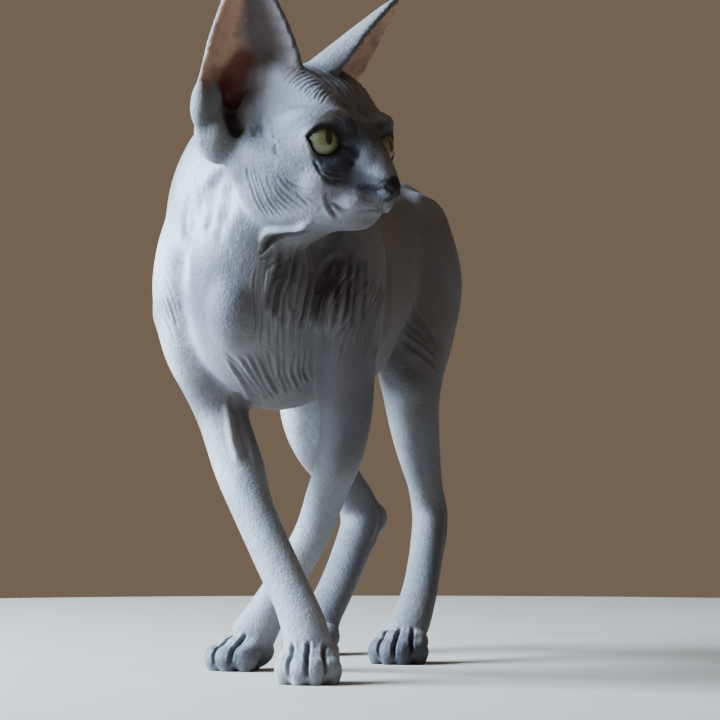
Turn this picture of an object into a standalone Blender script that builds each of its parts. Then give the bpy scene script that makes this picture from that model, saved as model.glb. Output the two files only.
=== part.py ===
"""Life-size sphynx cat, walking, with its forelegs crossed and its head turned to its left.

Metres, +Z up. The cat faces -Y and its own left is +X. Its forms are modelled in a body frame with the origin on the
floor under the middle of the shoulders, fused into one body, and parted by thin cuts into the nodes a person would name.
At the end everything moves so that the origin is the middle of the foot of the whole cat's box.
"""

import math

import bmesh
import bpy
import numpy as np
from mathutils import Euler, Matrix, Vector
from mathutils.bvhtree import BVHTree

MM = 0.001

# Driving dimensions
HEAD_SIZE = 1.12  # scales the head's own forms, which are given in millimetres
HEAD_CENTRE = (0.0420, -0.0579, 0.292)
HEAD_TURN = 60.0  # degrees to the cat's left of straight ahead
HEAD_NOD = 6.0  # degrees, nose down
EYE_RADIUS = 10.0
EYE_CENTRE = (18.7, -24.7, 2.0)
EYE_OUTWARD = 14.0  # degrees that each eye looks away from straight ahead
GAP = 0.3 * MM  # between neighbouring nodes
VOXEL = 1.3 * MM
TRIANGLES = 8450
FACE_WEIGHT = 0.999  # below 1 the face keeps smaller triangles than the body

# The trunk from breastbone to rump: y, z, half width, half height
TRUNK = [
    (-0.060, 0.203, 0.016, 0.022),
    (-0.045, 0.205, 0.032, 0.044),
    (-0.020, 0.211, 0.043, 0.058),
    (0.010, 0.216, 0.049, 0.066),
    (0.050, 0.219, 0.050, 0.065),
    (0.090, 0.222, 0.050, 0.062),
    (0.130, 0.227, 0.048, 0.058),
    (0.165, 0.235, 0.045, 0.053),
    (0.200, 0.245, 0.042, 0.050),
    (0.235, 0.255, 0.043, 0.051),
    (0.265, 0.262, 0.042, 0.046),
    (0.290, 0.262, 0.034, 0.038),
    (0.306, 0.262, 0.020, 0.024),
]

# Tubes: x, y, z, half width, half depth at each station
NECK = [
    (-0.006, 0.030, 0.234, 0.052, 0.046),
    (-0.006, 0.008, 0.248, 0.054, 0.050),
    (-0.003, -0.010, 0.266, 0.051, 0.047),
    (0.004, -0.022, 0.284, 0.045, 0.041),
    (0.016, -0.034, 0.300, 0.036, 0.033),
]
TAIL = [
    (0.000, 0.280, 0.284, 0.020, 0.018),
    (0.000, 0.306, 0.280, 0.0125, 0.0125),
    (-0.001, 0.336, 0.264, 0.0095, 0.0095),
    (-0.003, 0.364, 0.234, 0.0082, 0.0082),
    (-0.006, 0.386, 0.194, 0.0072, 0.0072),
    (-0.009, 0.404, 0.150, 0.0062, 0.0062),
    (-0.012, 0.422, 0.110, 0.0052, 0.0052),
    (-0.016, 0.447, 0.082, 0.0042, 0.0042),
    (-0.021, 0.476, 0.072, 0.0030, 0.0030),
]
FORE_RIGHT = [
    (-0.036, 0.030, 0.270, 0.012, 0.022),
    (-0.043, 0.014, 0.250, 0.018, 0.034),
    (-0.044, -0.004, 0.222, 0.020, 0.036),
    (-0.040, -0.010, 0.196, 0.019, 0.032),
    (-0.034, 0.000, 0.170, 0.0165, 0.026),
    (-0.0275, 0.003, 0.147, 0.0142, 0.0200),
    (-0.0145, -0.007, 0.118, 0.0144, 0.0155),
    (-0.003, -0.018, 0.095, 0.0122, 0.0130),
    (0.0155, -0.031, 0.064, 0.0118, 0.0115),
    (0.0265, -0.038, 0.046, 0.0118, 0.0115),
    (0.034, -0.044, 0.032, 0.0126, 0.0112),
    (0.038, -0.048, 0.020, 0.0138, 0.0112),
]
FORE_LEFT = [
    (0.036, 0.036, 0.270, 0.012, 0.022),
    (0.043, 0.022, 0.250, 0.018, 0.034),
    (0.047, 0.004, 0.222, 0.020, 0.036),
    (0.047, 0.000, 0.196, 0.019, 0.032),
    (0.043, 0.012, 0.170, 0.016, 0.027),
    (0.041, 0.021, 0.147, 0.0145, 0.0210),
    (0.035, 0.026, 0.122, 0.0128, 0.0165),
    (0.026, 0.032, 0.103, 0.0115, 0.0135),
    (0.0155, 0.038, 0.079, 0.0108, 0.0112),
    (-0.004, 0.045, 0.050, 0.0105, 0.0110),
    (-0.015, 0.048, 0.033, 0.0118, 0.0110),
    (-0.023, 0.050, 0.021, 0.0135, 0.0110),
]
HIND_LEFT = [
    (0.028, 0.262, 0.276, 0.016, 0.030),
    (0.034, 0.246, 0.246, 0.021, 0.043),
    (0.034, 0.226, 0.216, 0.021, 0.043),
    (0.0335, 0.202, 0.186, 0.021, 0.034),
    (0.038, 0.188, 0.158, 0.0165, 0.026),
    (0.040, 0.195, 0.132, 0.0135, 0.0200),
    (0.0418, 0.207, 0.108, 0.0108, 0.0140),
    (0.0438, 0.212, 0.086, 0.0112, 0.0140),
    (0.046, 0.190, 0.062, 0.0108, 0.0110),
    (0.048, 0.166, 0.042, 0.0112, 0.0098),
    (0.047, 0.149, 0.026, 0.0125, 0.0098),
    (0.045, 0.142, 0.018, 0.0130, 0.0100),
]
HIND_RIGHT = [
    (-0.028, 0.262, 0.276, 0.016, 0.030),
    (-0.034, 0.250, 0.246, 0.021, 0.043),
    (-0.036, 0.240, 0.216, 0.021, 0.043),
    (-0.038, 0.230, 0.186, 0.020, 0.034),
    (-0.042, 0.226, 0.160, 0.0165, 0.026),
    (-0.040, 0.246, 0.134, 0.0145, 0.0195),
    (-0.029, 0.274, 0.108, 0.0120, 0.0140),
    (-0.0215, 0.288, 0.086, 0.0132, 0.0140),
    (-0.0236, 0.266, 0.062, 0.0124, 0.0112),
    (-0.0265, 0.241, 0.040, 0.0122, 0.0100),
    (-0.0295, 0.224, 0.026, 0.0128, 0.0098),
    (-0.031, 0.217, 0.018, 0.0130, 0.0100),
]

# Paws: x, y of the paw's middle, heading in degrees to the cat's left of straight ahead, width scale, length scale
PAWS = {
    "paw_fore_right": (0.040, -0.0530, 12.0, 1.00, 1.00),
    "paw_fore_left": (-0.031, 0.0480, -32.0, 1.06, 1.03),
    "paw_hind_left": (0.044, 0.1340, 2.0, 1.00, 1.00),
    "paw_hind_right": (-0.032, 0.2080, -12.0, 1.00, 1.00),
}

SIDES = {"left": 1, "right": -1}

EARS = {
    # root, tip and the way the cup opens, in the head's millimetres, and the cup's half width
    "ear_right": ((-28.5, 16, 17), (-39, 13, 88), (-0.65, -0.75, 0.05), 26),
    "ear_left": ((19.5, 17, 28), (53, -1.5, 78), (0.66, -0.75, 0.05), 30),
}

# Lines drawn into the head, in its own millimetres: path, width, depth
LIP_LINE = [(0, -55, -28), (4, -52, -29.5), (8, -47, -30.5), (12, -40, -29.5), (15, -34, -26)]
HEAD_LINES = [
    (LIP_LINE, 1.2, 1.8),
    ([(15, -34, -26), (16.5, -34, -20), (16, -36, -14)], 1.3, 0.8),
    ([(0, -62, -22), (0, -57, -30)], 1.3, 1.6),
    ([(3.4, -62, -19), (5.0, -59.5, -18)], 1.2, 1.4),
    ([(5.0, -59.5, -18), (7.5, -54, -20)], 1.1, 0.8),
    ([(10.5, -38, 1), (8, -42, -3)], 1.6, 1.6),
    ([(33.5, 24, 27), (33, 21.5, 18), (35.5, 18.5, 9), (35.5, 16, 6)], 3.8, 5.0),
]


def curve_through(stations, steps):
    """The stations with steps - 1 more between each two, on a Catmull-Rom curve."""
    rows = np.array(stations, float)
    padded = np.vstack([2 * rows[0] - rows[1], rows, 2 * rows[-1] - rows[-2]])
    out = []
    for i in range(1, len(padded) - 2):
        a, b, c, d = padded[i - 1 : i + 3]
        for t in np.arange(steps) / steps:
            out.append(
                0.5 * (2 * b + (c - a) * t + (2 * a - 5 * b + 4 * c - d) * t**2 + (3 * b - a - 3 * c + d) * t**3)
            )
    out.append(padded[-2])
    return np.array(out)


def unit(v):
    return v / np.maximum(np.linalg.norm(v, axis=-1, keepdims=True), 1e-12)


def add_loft(forms, stations, side=(1, 0, 0), matrix=None, ring=20, steps=5):
    """Adds a tube of oval rings with domed ends. Half widths lie along side, half depths across it."""
    rows = curve_through(stations, steps)
    centres, half = rows[:, :3], np.maximum(rows[:, 3:5], 1e-5)
    along = unit(np.gradient(centres, axis=0))
    across = unit(np.array(side, float) - along * (along @ np.array(side, float))[:, None])
    over = np.cross(along, across)
    dome = [math.radians(a) for a in (75, 50, 25)]
    ends = []
    for i, way in ((0, -1), (-1, 1)):
        reach = half[i].min()
        ends.append([(centres[i] + along[i] * way * reach * math.sin(a), half[i] * math.cos(a), i) for a in dome])
    rings = ends[0] + [(centres[i], half[i], i) for i in range(len(rows))] + ends[1][::-1]
    tips = [centres[0] - along[0] * half[0].min(), centres[-1] + along[-1] * half[-1].min()]
    angles = np.arange(ring) * 2 * math.pi / ring
    move = matrix or Matrix.Identity(4)
    made = []
    for centre, size, i in rings:
        points = centre + np.outer(np.cos(angles) * size[0], across[i]) + np.outer(np.sin(angles) * size[1], over[i])
        made.append([forms.verts.new(move @ Vector(p)) for p in points])
    for low, high in zip(made, made[1:]):
        for k in range(ring):
            m = (k + 1) % ring
            forms.faces.new((low[k], low[m], high[m], high[k]))
    for tip, loop, turned in ((tips[0], made[0], False), (tips[1], made[-1], True)):
        pole = forms.verts.new(move @ Vector(tip))
        for k in range(ring):
            m = (k + 1) % ring
            forms.faces.new((loop[k], loop[m], pole) if turned else (loop[m], loop[k], pole))


def add_ellipsoid(forms, centre, radii, matrix=None, turn=(0, 0, 0)):
    place = Matrix.LocRotScale(Vector(centre), Euler([math.radians(a) for a in turn]), Vector(radii))
    bmesh.ops.create_icosphere(forms, subdivisions=3, radius=1.0, matrix=(matrix or Matrix.Identity(4)) @ place)


def head_frame():
    """From the head's own millimetres, nose towards -y, to the body frame."""
    turn = Euler((math.radians(HEAD_NOD), 0, math.radians(HEAD_TURN)))
    return Matrix.LocRotScale(Vector(HEAD_CENTRE), turn, Vector((HEAD_SIZE * MM,) * 3))


def eye_frame(side):
    """From the eye's own frame, in the head's millimetres, looking along -y, to the body frame."""
    x, y, z = EYE_CENTRE
    gaze = Euler((math.radians(-3), 0, math.radians(side * EYE_OUTWARD)))
    return head_frame() @ Matrix.LocRotScale(Vector((side * x, y, z)), gaze, Vector((1, 1, 1)))


def add_trunk(forms):
    add_loft(forms, [(0, y, z, w, h) for y, z, w, h in TRUNK], ring=28)
    add_loft(forms, NECK, ring=24)
    add_loft(forms, TAIL, ring=14)
    # Rounded belly, and the point of the breast under the throat
    add_ellipsoid(forms, (0, 0.115, 0.206), (0.044, 0.072, 0.046))
    add_ellipsoid(forms, (0.002, -0.040, 0.222), (0.034, 0.032, 0.052), turn=(12, 0, 0))
    for side in SIDES.values():
        # Shoulder blade, point of the shoulder, hip muscle and point of the hip
        add_ellipsoid(forms, (side * 0.036, 0.022, 0.262), (0.014, 0.030, 0.026), turn=(20, 0, 0))
        add_ellipsoid(forms, (side * 0.046, -0.022, 0.206), (0.014, 0.017, 0.018))
        add_ellipsoid(forms, (side * 0.028, 0.232, 0.282), (0.013, 0.018, 0.014))


def add_legs(forms):
    for stations in (FORE_RIGHT, FORE_LEFT, HIND_LEFT, HIND_RIGHT):
        add_loft(forms, stations, ring=20)
    # Point of each elbow, each heel bone and each kneecap
    add_ellipsoid(forms, (-0.030, 0.020, 0.149), (0.0085, 0.012, 0.012))
    add_ellipsoid(forms, (0.042, 0.036, 0.148), (0.0085, 0.012, 0.012))
    add_ellipsoid(forms, (0.0445, 0.224, 0.087), (0.0075, 0.009, 0.012), turn=(-25, 0, 0))
    add_ellipsoid(forms, (-0.0135, 0.299, 0.085), (0.0075, 0.009, 0.012), turn=(-25, 0, 0))
    add_ellipsoid(forms, (0.040, 0.172, 0.166), (0.010, 0.012, 0.015))
    add_ellipsoid(forms, (-0.043, 0.208, 0.167), (0.010, 0.012, 0.015))


def paw_frame(name):
    x, y, heading, wide, long = PAWS[name]
    turn = Euler((0, 0, math.radians(heading)))
    return Matrix.LocRotScale(Vector((x, y, 0)), turn, Vector((wide * MM, long * MM, MM)))


def add_paw(forms, name):
    """Four toes round the front of the foot, with a knuckle, a tip and a pad each."""
    place = paw_frame(name)
    add_ellipsoid(forms, (0, 7, 11), (14, 15, 11), place)
    add_ellipsoid(forms, (0, 4, 3.5), (10, 9, 5), place)
    for x, y, fan in ((-13.2, -3, 16), (-4.6, -9, 5), (4.6, -9, -5), (13.2, -3, -16)):
        add_ellipsoid(forms, (x * 0.9, y + 3.5, 12.8), (4.9, 7.5, 7), place, turn=(18, 0, fan))
        add_ellipsoid(forms, (x, y - 4, 7.4), (5.3, 7.5, 7.8), place, turn=(0, 0, fan))
        add_ellipsoid(forms, (x, y - 4, 1.2), (4.0, 5.0, 3), place)
    if "fore" in name:
        inner = -1 if "left" in name else 1
        add_ellipsoid(forms, (inner * 12, 14, 17), (4, 5, 5.5), place)
        add_ellipsoid(forms, (0, 19, 21), (5, 4.5, 4), place)


def add_head(forms):
    head = head_frame()
    add_ellipsoid(forms, (0, 14, 10), (28, 34, 31), head)
    add_ellipsoid(forms, (0, -9, 15), (22, 21, 20), head)
    add_ellipsoid(forms, (0, -35, -18), (15, 17, 13), head)
    add_ellipsoid(forms, (0, -48, -25), (6.5, 7, 6.5), head)
    add_ellipsoid(forms, (0, -36, -31), (8.5, 9.5, 6.5), head)
    add_ellipsoid(forms, (0, -12, -27), (19, 27, 13), head)
    add_ellipsoid(forms, (0, 10, -30), (22, 26, 18), head)
    add_ellipsoid(forms, (0, -57.5, -18.5), (7, 4.5, 5), head)
    bridge = [(0, -12, 18, 14, 9), (0, -28, 9, 12, 9), (0, -43, -4, 9.5, 8), (0, -53, -14, 7.5, 6.5)]
    add_loft(forms, bridge, matrix=head)
    for side in SIDES.values():
        brow = [(6, -32, 11, 5, 5), (13, -32.5, 13, 5, 5), (20, -30, 13.5, 5.5, 5), (25, -19, 12, 6.5, 6), (24, -6, 9, 6, 7)]
        add_loft(forms, [(side * x, y, z, a, b) for x, y, z, a, b in brow], side=(0, 0, 1), matrix=head)
        add_ellipsoid(forms, (side * 20, -9, 4), (11, 17, 13), head)
        add_ellipsoid(forms, (side * 17, 15, 33), (11, 10, 10.5), head)
        temple = [(13, -26, 16, 6, 6), (14, -12, 26, 8, 8), (16, 4, 32, 9, 9)]
        add_loft(forms, [(side * x, y, z, a, b) for x, y, z, a, b in temple], side=(0, 0, 1), matrix=head)
        add_ellipsoid(forms, (side * 10, -31, -3), (7, 8, 9), head)
        add_ellipsoid(forms, (side * 17, -27, -15), (12, 13, 12), head)
        add_ellipsoid(forms, (side * 20, 2, -14), (16, 26, 21), head)
        add_ellipsoid(forms, (side * 7.5, -39.5, -23.5), (8.5, 10.5, 8.5), head)
        add_ellipsoid(forms, (side * 24, 22, 6), (13, 17, 17), head)
        add_ellipsoid(forms, (side * 33, 33, 5), (10, 12, 16), head)
        add_ellipsoid(forms, (side * 40, 23, 1), (10, 9, 13), head)
        add_ellipsoid(forms, (side * 31.5, 13, -9), (7.5, 10, 12), head)
        cheekbone = [(15, -33, -10, 7, 7), (25, -18, -10, 8, 8), (29, 2, -7, 9, 9), (28, 20, -2, 9, 9)]
        add_loft(forms, [(side * x, y, z, a, b) for x, y, z, a, b in cheekbone], side=(0, 0, 1), matrix=head)
        jaw = [(4, -37, -31, 6, 6), (12, -26, -30.5, 8, 7.5), (18, -8, -29, 10, 9), (20, 10, -25, 11, 9)]
        add_loft(forms, [(side * x, y, z, a, b) for x, y, z, a, b in jaw], side=(0, 0, 1), matrix=head)
        x, y, z = EYE_CENTRE
        add_ellipsoid(forms, (side * x, y + 0.5, z), (11.8, 11.8, 11.8), head)


def ear_point(name, u, v, depth):
    """A point of the ear's sheet: u from the inner edge, -1, to the outer, 1, v from root to tip, depth behind it."""
    root, tip, opening = (np.array(p, float) for p in EARS[name][:3])
    side = 1 if name == "ear_left" else -1
    rise = tip - root
    length = np.linalg.norm(rise)
    up = rise / length
    face = unit(opening - up * (opening @ up))
    out = np.cross(up, face)
    out = out * (side * np.sign(out[0]))
    width = EARS[name][3] * (1 - min(v, 1) ** 1.7) ** 0.9 * (1 - 0.2 * max(u, 0) * (1 - min(v / 0.3, 1))) + 0.001
    cup = (20 * (1 - v) ** 1.1 + 2) * min(1, width / 8)
    bend = math.radians(100 - 45 * v)
    height = v * length - (1 - v) * 22 * (u * 0.5 + 0.35)
    away = width * math.sin(u * bend) / math.sin(bend) if bend < math.pi / 2 else width * math.sin(u * bend)
    back = cup * (math.cos(u * bend) - math.cos(bend)) / (1 - math.cos(bend))
    centre = root + up * height
    return centre + out * away - face * (back - cup * 0.5 + depth * math.cos(u * bend * 0.9)) + out * depth * math.sin(u)


def add_ear(forms, name, across=14, rows=16):
    """A cupped sheet of skin with a rounded rim, closed at its root inside the head."""
    head = head_frame()
    layers = []
    for depth_root, depth_tip in ((0.0, 0.0), (4.2, 2.8)):
        grid = []
        for j in range(rows + 1):
            v = 1 - (1 - j / rows) ** 1.5
            depth = depth_root + (depth_tip - depth_root) * v
            u_row = [-1 + 2 * i / across for i in range(across + 1)]
            grid.append([forms.verts.new(head @ Vector(ear_point(name, u, v, depth))) for u in u_row])
        layers.append(grid)
    inner, outer = layers
    for j in range(rows):
        for i in range(across):
            forms.faces.new((inner[j][i], inner[j][i + 1], inner[j + 1][i + 1], inner[j + 1][i]))
            forms.faces.new((outer[j][i], outer[j + 1][i], outer[j + 1][i + 1], outer[j][i + 1]))
    for j in range(rows):
        forms.faces.new((inner[j][0], inner[j + 1][0], outer[j + 1][0], outer[j][0]))
        forms.faces.new((inner[j][-1], outer[j][-1], outer[j + 1][-1], inner[j + 1][-1]))
    for i in range(across):
        forms.faces.new((inner[0][i], outer[0][i], outer[0][i + 1], inner[0][i + 1]))
        forms.faces.new((inner[-1][i], inner[-1][i + 1], outer[-1][i + 1], outer[-1][i]))


def add_ear_pocket(forms, name):
    """The small puffy fold low on the ear's outer edge."""
    side = 1 if name == "ear_left" else -1
    edge = ear_point(name, 1.0, 0.2, 2.0)
    add_ellipsoid(forms, edge + np.array((side * -0.8, 0, 3.0)), (4.2, 5.5, 11.5), head_frame())
    add_ellipsoid(forms, edge + np.array((side * -9.5, 1.0, 3.6)), (6.5, 5.5, 14), head_frame())


def new_object(name, forms):
    mesh = bpy.data.meshes.new(name)
    bmesh.ops.recalc_face_normals(forms, faces=forms.faces)
    forms.to_mesh(mesh)
    forms.free()
    obj = bpy.data.objects.new(name, mesh)
    bpy.context.scene.collection.objects.link(obj)
    return obj


def apply_modifiers(obj):
    graph = bpy.context.evaluated_depsgraph_get()
    mesh = bpy.data.meshes.new_from_object(obj.evaluated_get(graph))
    obj.modifiers.clear()
    obj.data = mesh


def fused_body():
    forms = bmesh.new()
    add_trunk(forms)
    add_legs(forms)
    for name in PAWS:
        add_paw(forms, name)
    add_head(forms)
    for name in EARS:
        add_ear(forms, name)
        add_ear_pocket(forms, name)
    body = new_object("body", forms)
    remesh = body.modifiers.new("fuse", "REMESH")
    remesh.mode = "VOXEL"
    remesh.voxel_size = VOXEL
    apply_modifiers(body)
    return body


def vertex_array(mesh, what="point"):
    """The vertices' points, or their normals, as rows."""
    values = np.empty(len(mesh.vertices) * 3, np.float32)
    if what == "point":
        mesh.vertices.foreach_get("co", values)
    else:
        mesh.vertex_normals.foreach_get("vector", values)
    return values.reshape(-1, 3).astype(float)


def neighbour_mean(mesh, points):
    """The mean of each vertex's neighbours along the edges."""
    edges = np.empty(len(mesh.edges) * 2, np.int32)
    mesh.edges.foreach_get("vertices", edges)
    a, b = edges.reshape(-1, 2).T
    ends, others = np.r_[a, b], np.r_[b, a]
    count = np.bincount(ends, minlength=len(points))
    return np.stack([np.bincount(ends, points[others, k], len(points)) / count for k in range(3)], 1)


def fill_creases(obj, rounds, strength):
    """Rounds the hollows where forms meet, strength being one number or one for each vertex."""
    mesh = obj.data
    points = vertex_array(mesh)
    for _ in range(rounds):
        normals = vertex_array(mesh, "normal")
        outward = ((neighbour_mean(mesh, points) - points) * normals).sum(1, keepdims=True)
        points = points + strength * np.maximum(outward, 0) * normals
        mesh.vertices.foreach_set("co", points.astype(np.float32).ravel())
        mesh.update()


def crease_strength(mesh, full):
    """Full on the body, little on the toes and none on the ears."""
    points = vertex_array(mesh)
    above_feet = np.clip((points[:, 2] - 0.03) / 0.02, 0, 1)
    return (full * (0.2 + 0.8 * above_feet) * (1 - in_ears(mesh)[:, 0]))[:, None]


def head_points(mesh):
    """The vertices in the head's own millimetres."""
    back = np.array(head_frame().inverted())
    return vertex_array(mesh) @ back[:3, :3].T + back[:3, 3]


def in_ears(mesh):
    return np.clip((head_points(mesh)[:, 2:] - 36) / 10, 0, 1)


def in_head(mesh):
    points = head_points(mesh)
    near = np.clip((60 - np.linalg.norm(points * (1, 0.85, 1) - (0, -10, -8), axis=1)) / 15, 0, 1)[:, None]
    return near * (1 - in_ears(mesh))


def path_distance(points, path):
    """How far each point is from the line through the path."""
    nearest = np.full(len(points), np.inf)
    for a, b in zip(path, path[1:]):
        a, b = np.array(a, float), np.array(b, float)
        t = np.clip(((points - a) @ (b - a)) / ((b - a) @ (b - a)), 0, 1)
        nearest = np.minimum(nearest, np.linalg.norm(points - a - t[:, None] * (b - a), axis=1))
    return nearest


def draw_lines(obj, lines):
    """Presses each line into both sides of the head, where it lies nearest to the skin."""
    mesh = obj.data
    points = head_points(mesh)
    skin = BVHTree.FromPolygons([Vector(p) for p in points], [f.vertices for f in mesh.polygons])
    depth = np.zeros(len(points))
    for side in SIDES.values():
        for path, width, deep in lines:
            curve = curve_through([(side * x, y, z) for x, y, z in path], 4)
            placed = [skin.find_nearest(Vector(p))[0] for p in curve]
            depth = np.maximum(depth, deep * np.exp(-((path_distance(points, placed) / width) ** 2)))
    moved = vertex_array(mesh) - vertex_array(mesh, "normal") * depth[:, None] * HEAD_SIZE * MM
    mesh.vertices.foreach_set("co", moved.astype(np.float32).ravel())
    mesh.update()


def smooth(obj, rounds, strength):
    """Evens out the surface, strength being one number or one for each vertex."""
    mesh = obj.data
    points = vertex_array(mesh)
    for _ in range(rounds):
        points += strength * (neighbour_mean(mesh, points) - points)
    mesh.vertices.foreach_set("co", points.astype(np.float32).ravel())
    mesh.update()


def shaped_body():
    """The whole cat as one closed surface."""
    body = fused_body()
    fill_creases(body, 60, crease_strength(body.data, 0.5))
    fill_creases(body, 120, in_head(body.data) * 0.5)
    smooth(body, 12, crease_strength(body.data, 0.5))
    draw_lines(body, HEAD_LINES)
    return body


# Flat cuts: middle, the way the cut faces, radius
FLAT_CUTS = [
    ((0.000, -0.004, 0.253), (0.05, -0.60, 0.80), 0.095),
    ((0.000, 0.075, 0.215), (0, 1, 0), 0.085),
    ((0.000, 0.155, 0.225), (0, 1, 0), 0.085),
    ((-0.001, 0.340, 0.261), (-0.03, 0.75, -0.66), 0.030),
    ((-0.003, 0.364, 0.234), (-0.05, 0.50, -0.86), 0.020),
    ((-0.0105, 0.412, 0.130), (-0.06, 0.42, -0.90), 0.016),
    ((0.0235, -0.0365, 0.050), (0.45, -0.30, -0.84), 0.022),
    ((-0.0110, 0.0468, 0.040), (-0.50, 0.17, -0.85), 0.022),
    ((-0.0205, -0.002, 0.132), (0.30, -0.25, -0.92), 0.030),
    ((0.0375, 0.0245, 0.132), (-0.25, 0.20, -0.95), 0.030),
    ((0.039, 0.191, 0.146), (0.05, 0.20, -0.97), 0.036),
    ((-0.041, 0.236, 0.146), (0.20, 0.55, -0.80), 0.034),
    ((0.042, 0.205, 0.112), (0.11, 0.44, -0.89), 0.030),
    ((-0.033, 0.267, 0.114), (0.30, 0.72, -0.62), 0.030),
]

# Flat cuts of the head and ears, in the head's millimetres
HEAD_CUTS = [
    ((0, 21, -19), (0, 0.72, -0.70), 66),
    ((-30, 18, 29), (-0.55, 0.15, 0.82), 44),
    ((26, 14, 36), (0.62, 0.05, 0.78), 34),
]

# Rounded cuts round each shoulder and thigh: middle, radii, lean forward in degrees
ROUND_CUTS = [
    ((-0.068, 0.004, 0.198), (0.044, 0.048, 0.047), 0),
    ((0.068, 0.012, 0.198), (0.044, 0.048, 0.047), 0),
    ((-0.066, 0.242, 0.222), (0.044, 0.058, 0.055), 0),
    ((0.066, 0.226, 0.222), (0.044, 0.058, 0.055), 0),
]

# A point in or near the middle of each node
NODE_PLACES = {
    "head": (0.050, -0.060, 0.290),
    "neck": (0.004, -0.020, 0.265),
    "chest": (0.000, 0.015, 0.205),
    "belly": (0.000, 0.115, 0.220),
    "rump": (0.000, 0.225, 0.240),
    "tail_root": (0.000, 0.336, 0.264),
    "tail_middle": (-0.006, 0.390, 0.180),
    "tail_tip": (-0.014, 0.440, 0.090),
    "upper_arm_right": (-0.052, 0.000, 0.200),
    "upper_arm_left": (0.052, 0.012, 0.200),
    "forearm_right": (-0.004, -0.012, 0.096),
    "forearm_left": (0.020, 0.034, 0.090),
    "forefoot_right": (0.036, -0.050, 0.020),
    "forefoot_left": (-0.025, 0.050, 0.018),
    "thigh_right": (-0.048, 0.240, 0.215),
    "thigh_left": (0.048, 0.222, 0.215),
    "shank_right": (-0.040, 0.240, 0.135),
    "shank_left": (0.040, 0.195, 0.132),
    "hind_foot_right": (-0.028, 0.250, 0.050),
    "hind_foot_left": (0.046, 0.178, 0.050),
}

SHARP_ANGLE = 50.0  # degrees, above which an edge is shaded sharp

# Colour and roughness of the nodes whose names hold the word; the last one is for all others
LOOKS = {
    "eye_": ((0.170, 0.185, 0.070), 0.10),
    "ear_": ((0.260, 0.200, 0.190), 0.60),
    "foot": ((0.120, 0.125, 0.140), 0.60),
    "": ((0.200, 0.212, 0.240), 0.55),
}


def subtract(obj, cutter):
    """Takes the cutter out of the object and removes the cutter."""
    cut = obj.modifiers.new("cut", "BOOLEAN")
    cut.operation = "DIFFERENCE"
    cut.solver = "MANIFOLD"
    cut.object = cutter
    apply_modifiers(obj)
    bpy.data.objects.remove(cutter)


def thin(obj, triangles):
    """Fewer, larger triangles, the smallest of them on the face."""
    mesh = obj.data
    mesh.calc_loop_triangles()
    away = np.linalg.norm(head_points(mesh) - (0, -30, -8), axis=1)
    coarse = np.clip((away - 35) / 30, 0, 1)
    group = obj.vertex_groups.new(name="coarse")
    for step in range(11):
        at_step = np.flatnonzero(np.round(coarse * 10) == step).tolist()
        group.add(at_step, FACE_WEIGHT + (1 - FACE_WEIGHT) * step / 10, "REPLACE")
    decimate = obj.modifiers.new("thin", "DECIMATE")
    decimate.vertex_group = group.name
    decimate.ratio = triangles / len(mesh.loop_triangles)
    apply_modifiers(obj)
    obj.vertex_groups.clear()


def disc(middle, facing, radius, matrix=None):
    """A cutter as thick as the gap."""
    forms = bmesh.new()
    place = (matrix or Matrix.Identity(4)) @ Matrix.Translation(middle)
    turned = Vector(facing).to_track_quat("Z", "Y").to_matrix().to_4x4()
    depth = GAP / place.to_scale().x
    bmesh.ops.create_cone(
        forms, cap_ends=True, segments=32, radius1=radius, radius2=radius, depth=depth, matrix=place @ turned
    )
    return new_object("disc", forms)


def shell(middle, radii, lean):
    """A hollow rounded cutter, with walls as thick as the gap."""
    forms = bmesh.new()
    turn = Euler((math.radians(lean), 0, 0))
    for grow in (0, -GAP):
        place = Matrix.LocRotScale(Vector(middle), turn, Vector([r + grow for r in radii]))
        made = bmesh.ops.create_icosphere(forms, subdivisions=2, radius=1.0, matrix=place)
        if grow:
            faces = {f for v in made["verts"] for f in v.link_faces}
            bmesh.ops.reverse_faces(forms, faces=list(faces))
    mesh = bpy.data.meshes.new("shell")
    forms.to_mesh(mesh)
    forms.free()
    obj = bpy.data.objects.new("shell", mesh)
    bpy.context.scene.collection.objects.link(obj)
    return obj


def below_floor():
    forms = bmesh.new()
    place = Matrix.LocRotScale(Vector((0, 0.15, -0.02)), None, Vector((0.4, 0.9, 0.04)))
    bmesh.ops.create_cube(forms, size=1, matrix=place)
    return new_object("below_floor", forms)


def ball(name, matrix, radius, finer):
    forms = bmesh.new()
    bmesh.ops.create_uvsphere(forms, u_segments=finer * 2, v_segments=finer, radius=radius, matrix=matrix)
    return new_object(name, forms)


def open_eyes(body):
    """Cuts the socket and the opening between the lids of each eye."""
    for side in SIDES.values():
        place = eye_frame(side)
        room = EYE_RADIUS + GAP / MM / HEAD_SIZE
        subtract(body, ball("socket", place, room, 16))
        opening = place @ Matrix.Translation((0, -EYE_RADIUS, 0)) @ Matrix.Diagonal((8.8, 7.5, 7.8, 1))
        subtract(body, ball("opening", opening, 1.0, 14))


def split_loose(obj):
    """Every loose piece of the object as an object of its own."""
    forms = bmesh.new()
    forms.from_mesh(obj.data)
    placed = set()
    out = []
    for start in forms.verts:
        if start in placed:
            continue
        found, queue = {start}, [start]
        for vert in queue:
            near = [edge.other_vert(vert) for edge in vert.link_edges]
            new = [other for other in near if other not in found]
            found.update(new)
            queue.extend(new)
        placed |= found
        piece = bmesh.new()
        made = {vert: piece.verts.new(vert.co) for vert in queue}
        for face in forms.faces:
            if face.verts[0] in found:
                piece.faces.new([made[vert] for vert in face.verts])
        out.append(new_object("piece", piece))
    forms.free()
    bpy.data.objects.remove(obj)
    return out


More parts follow.
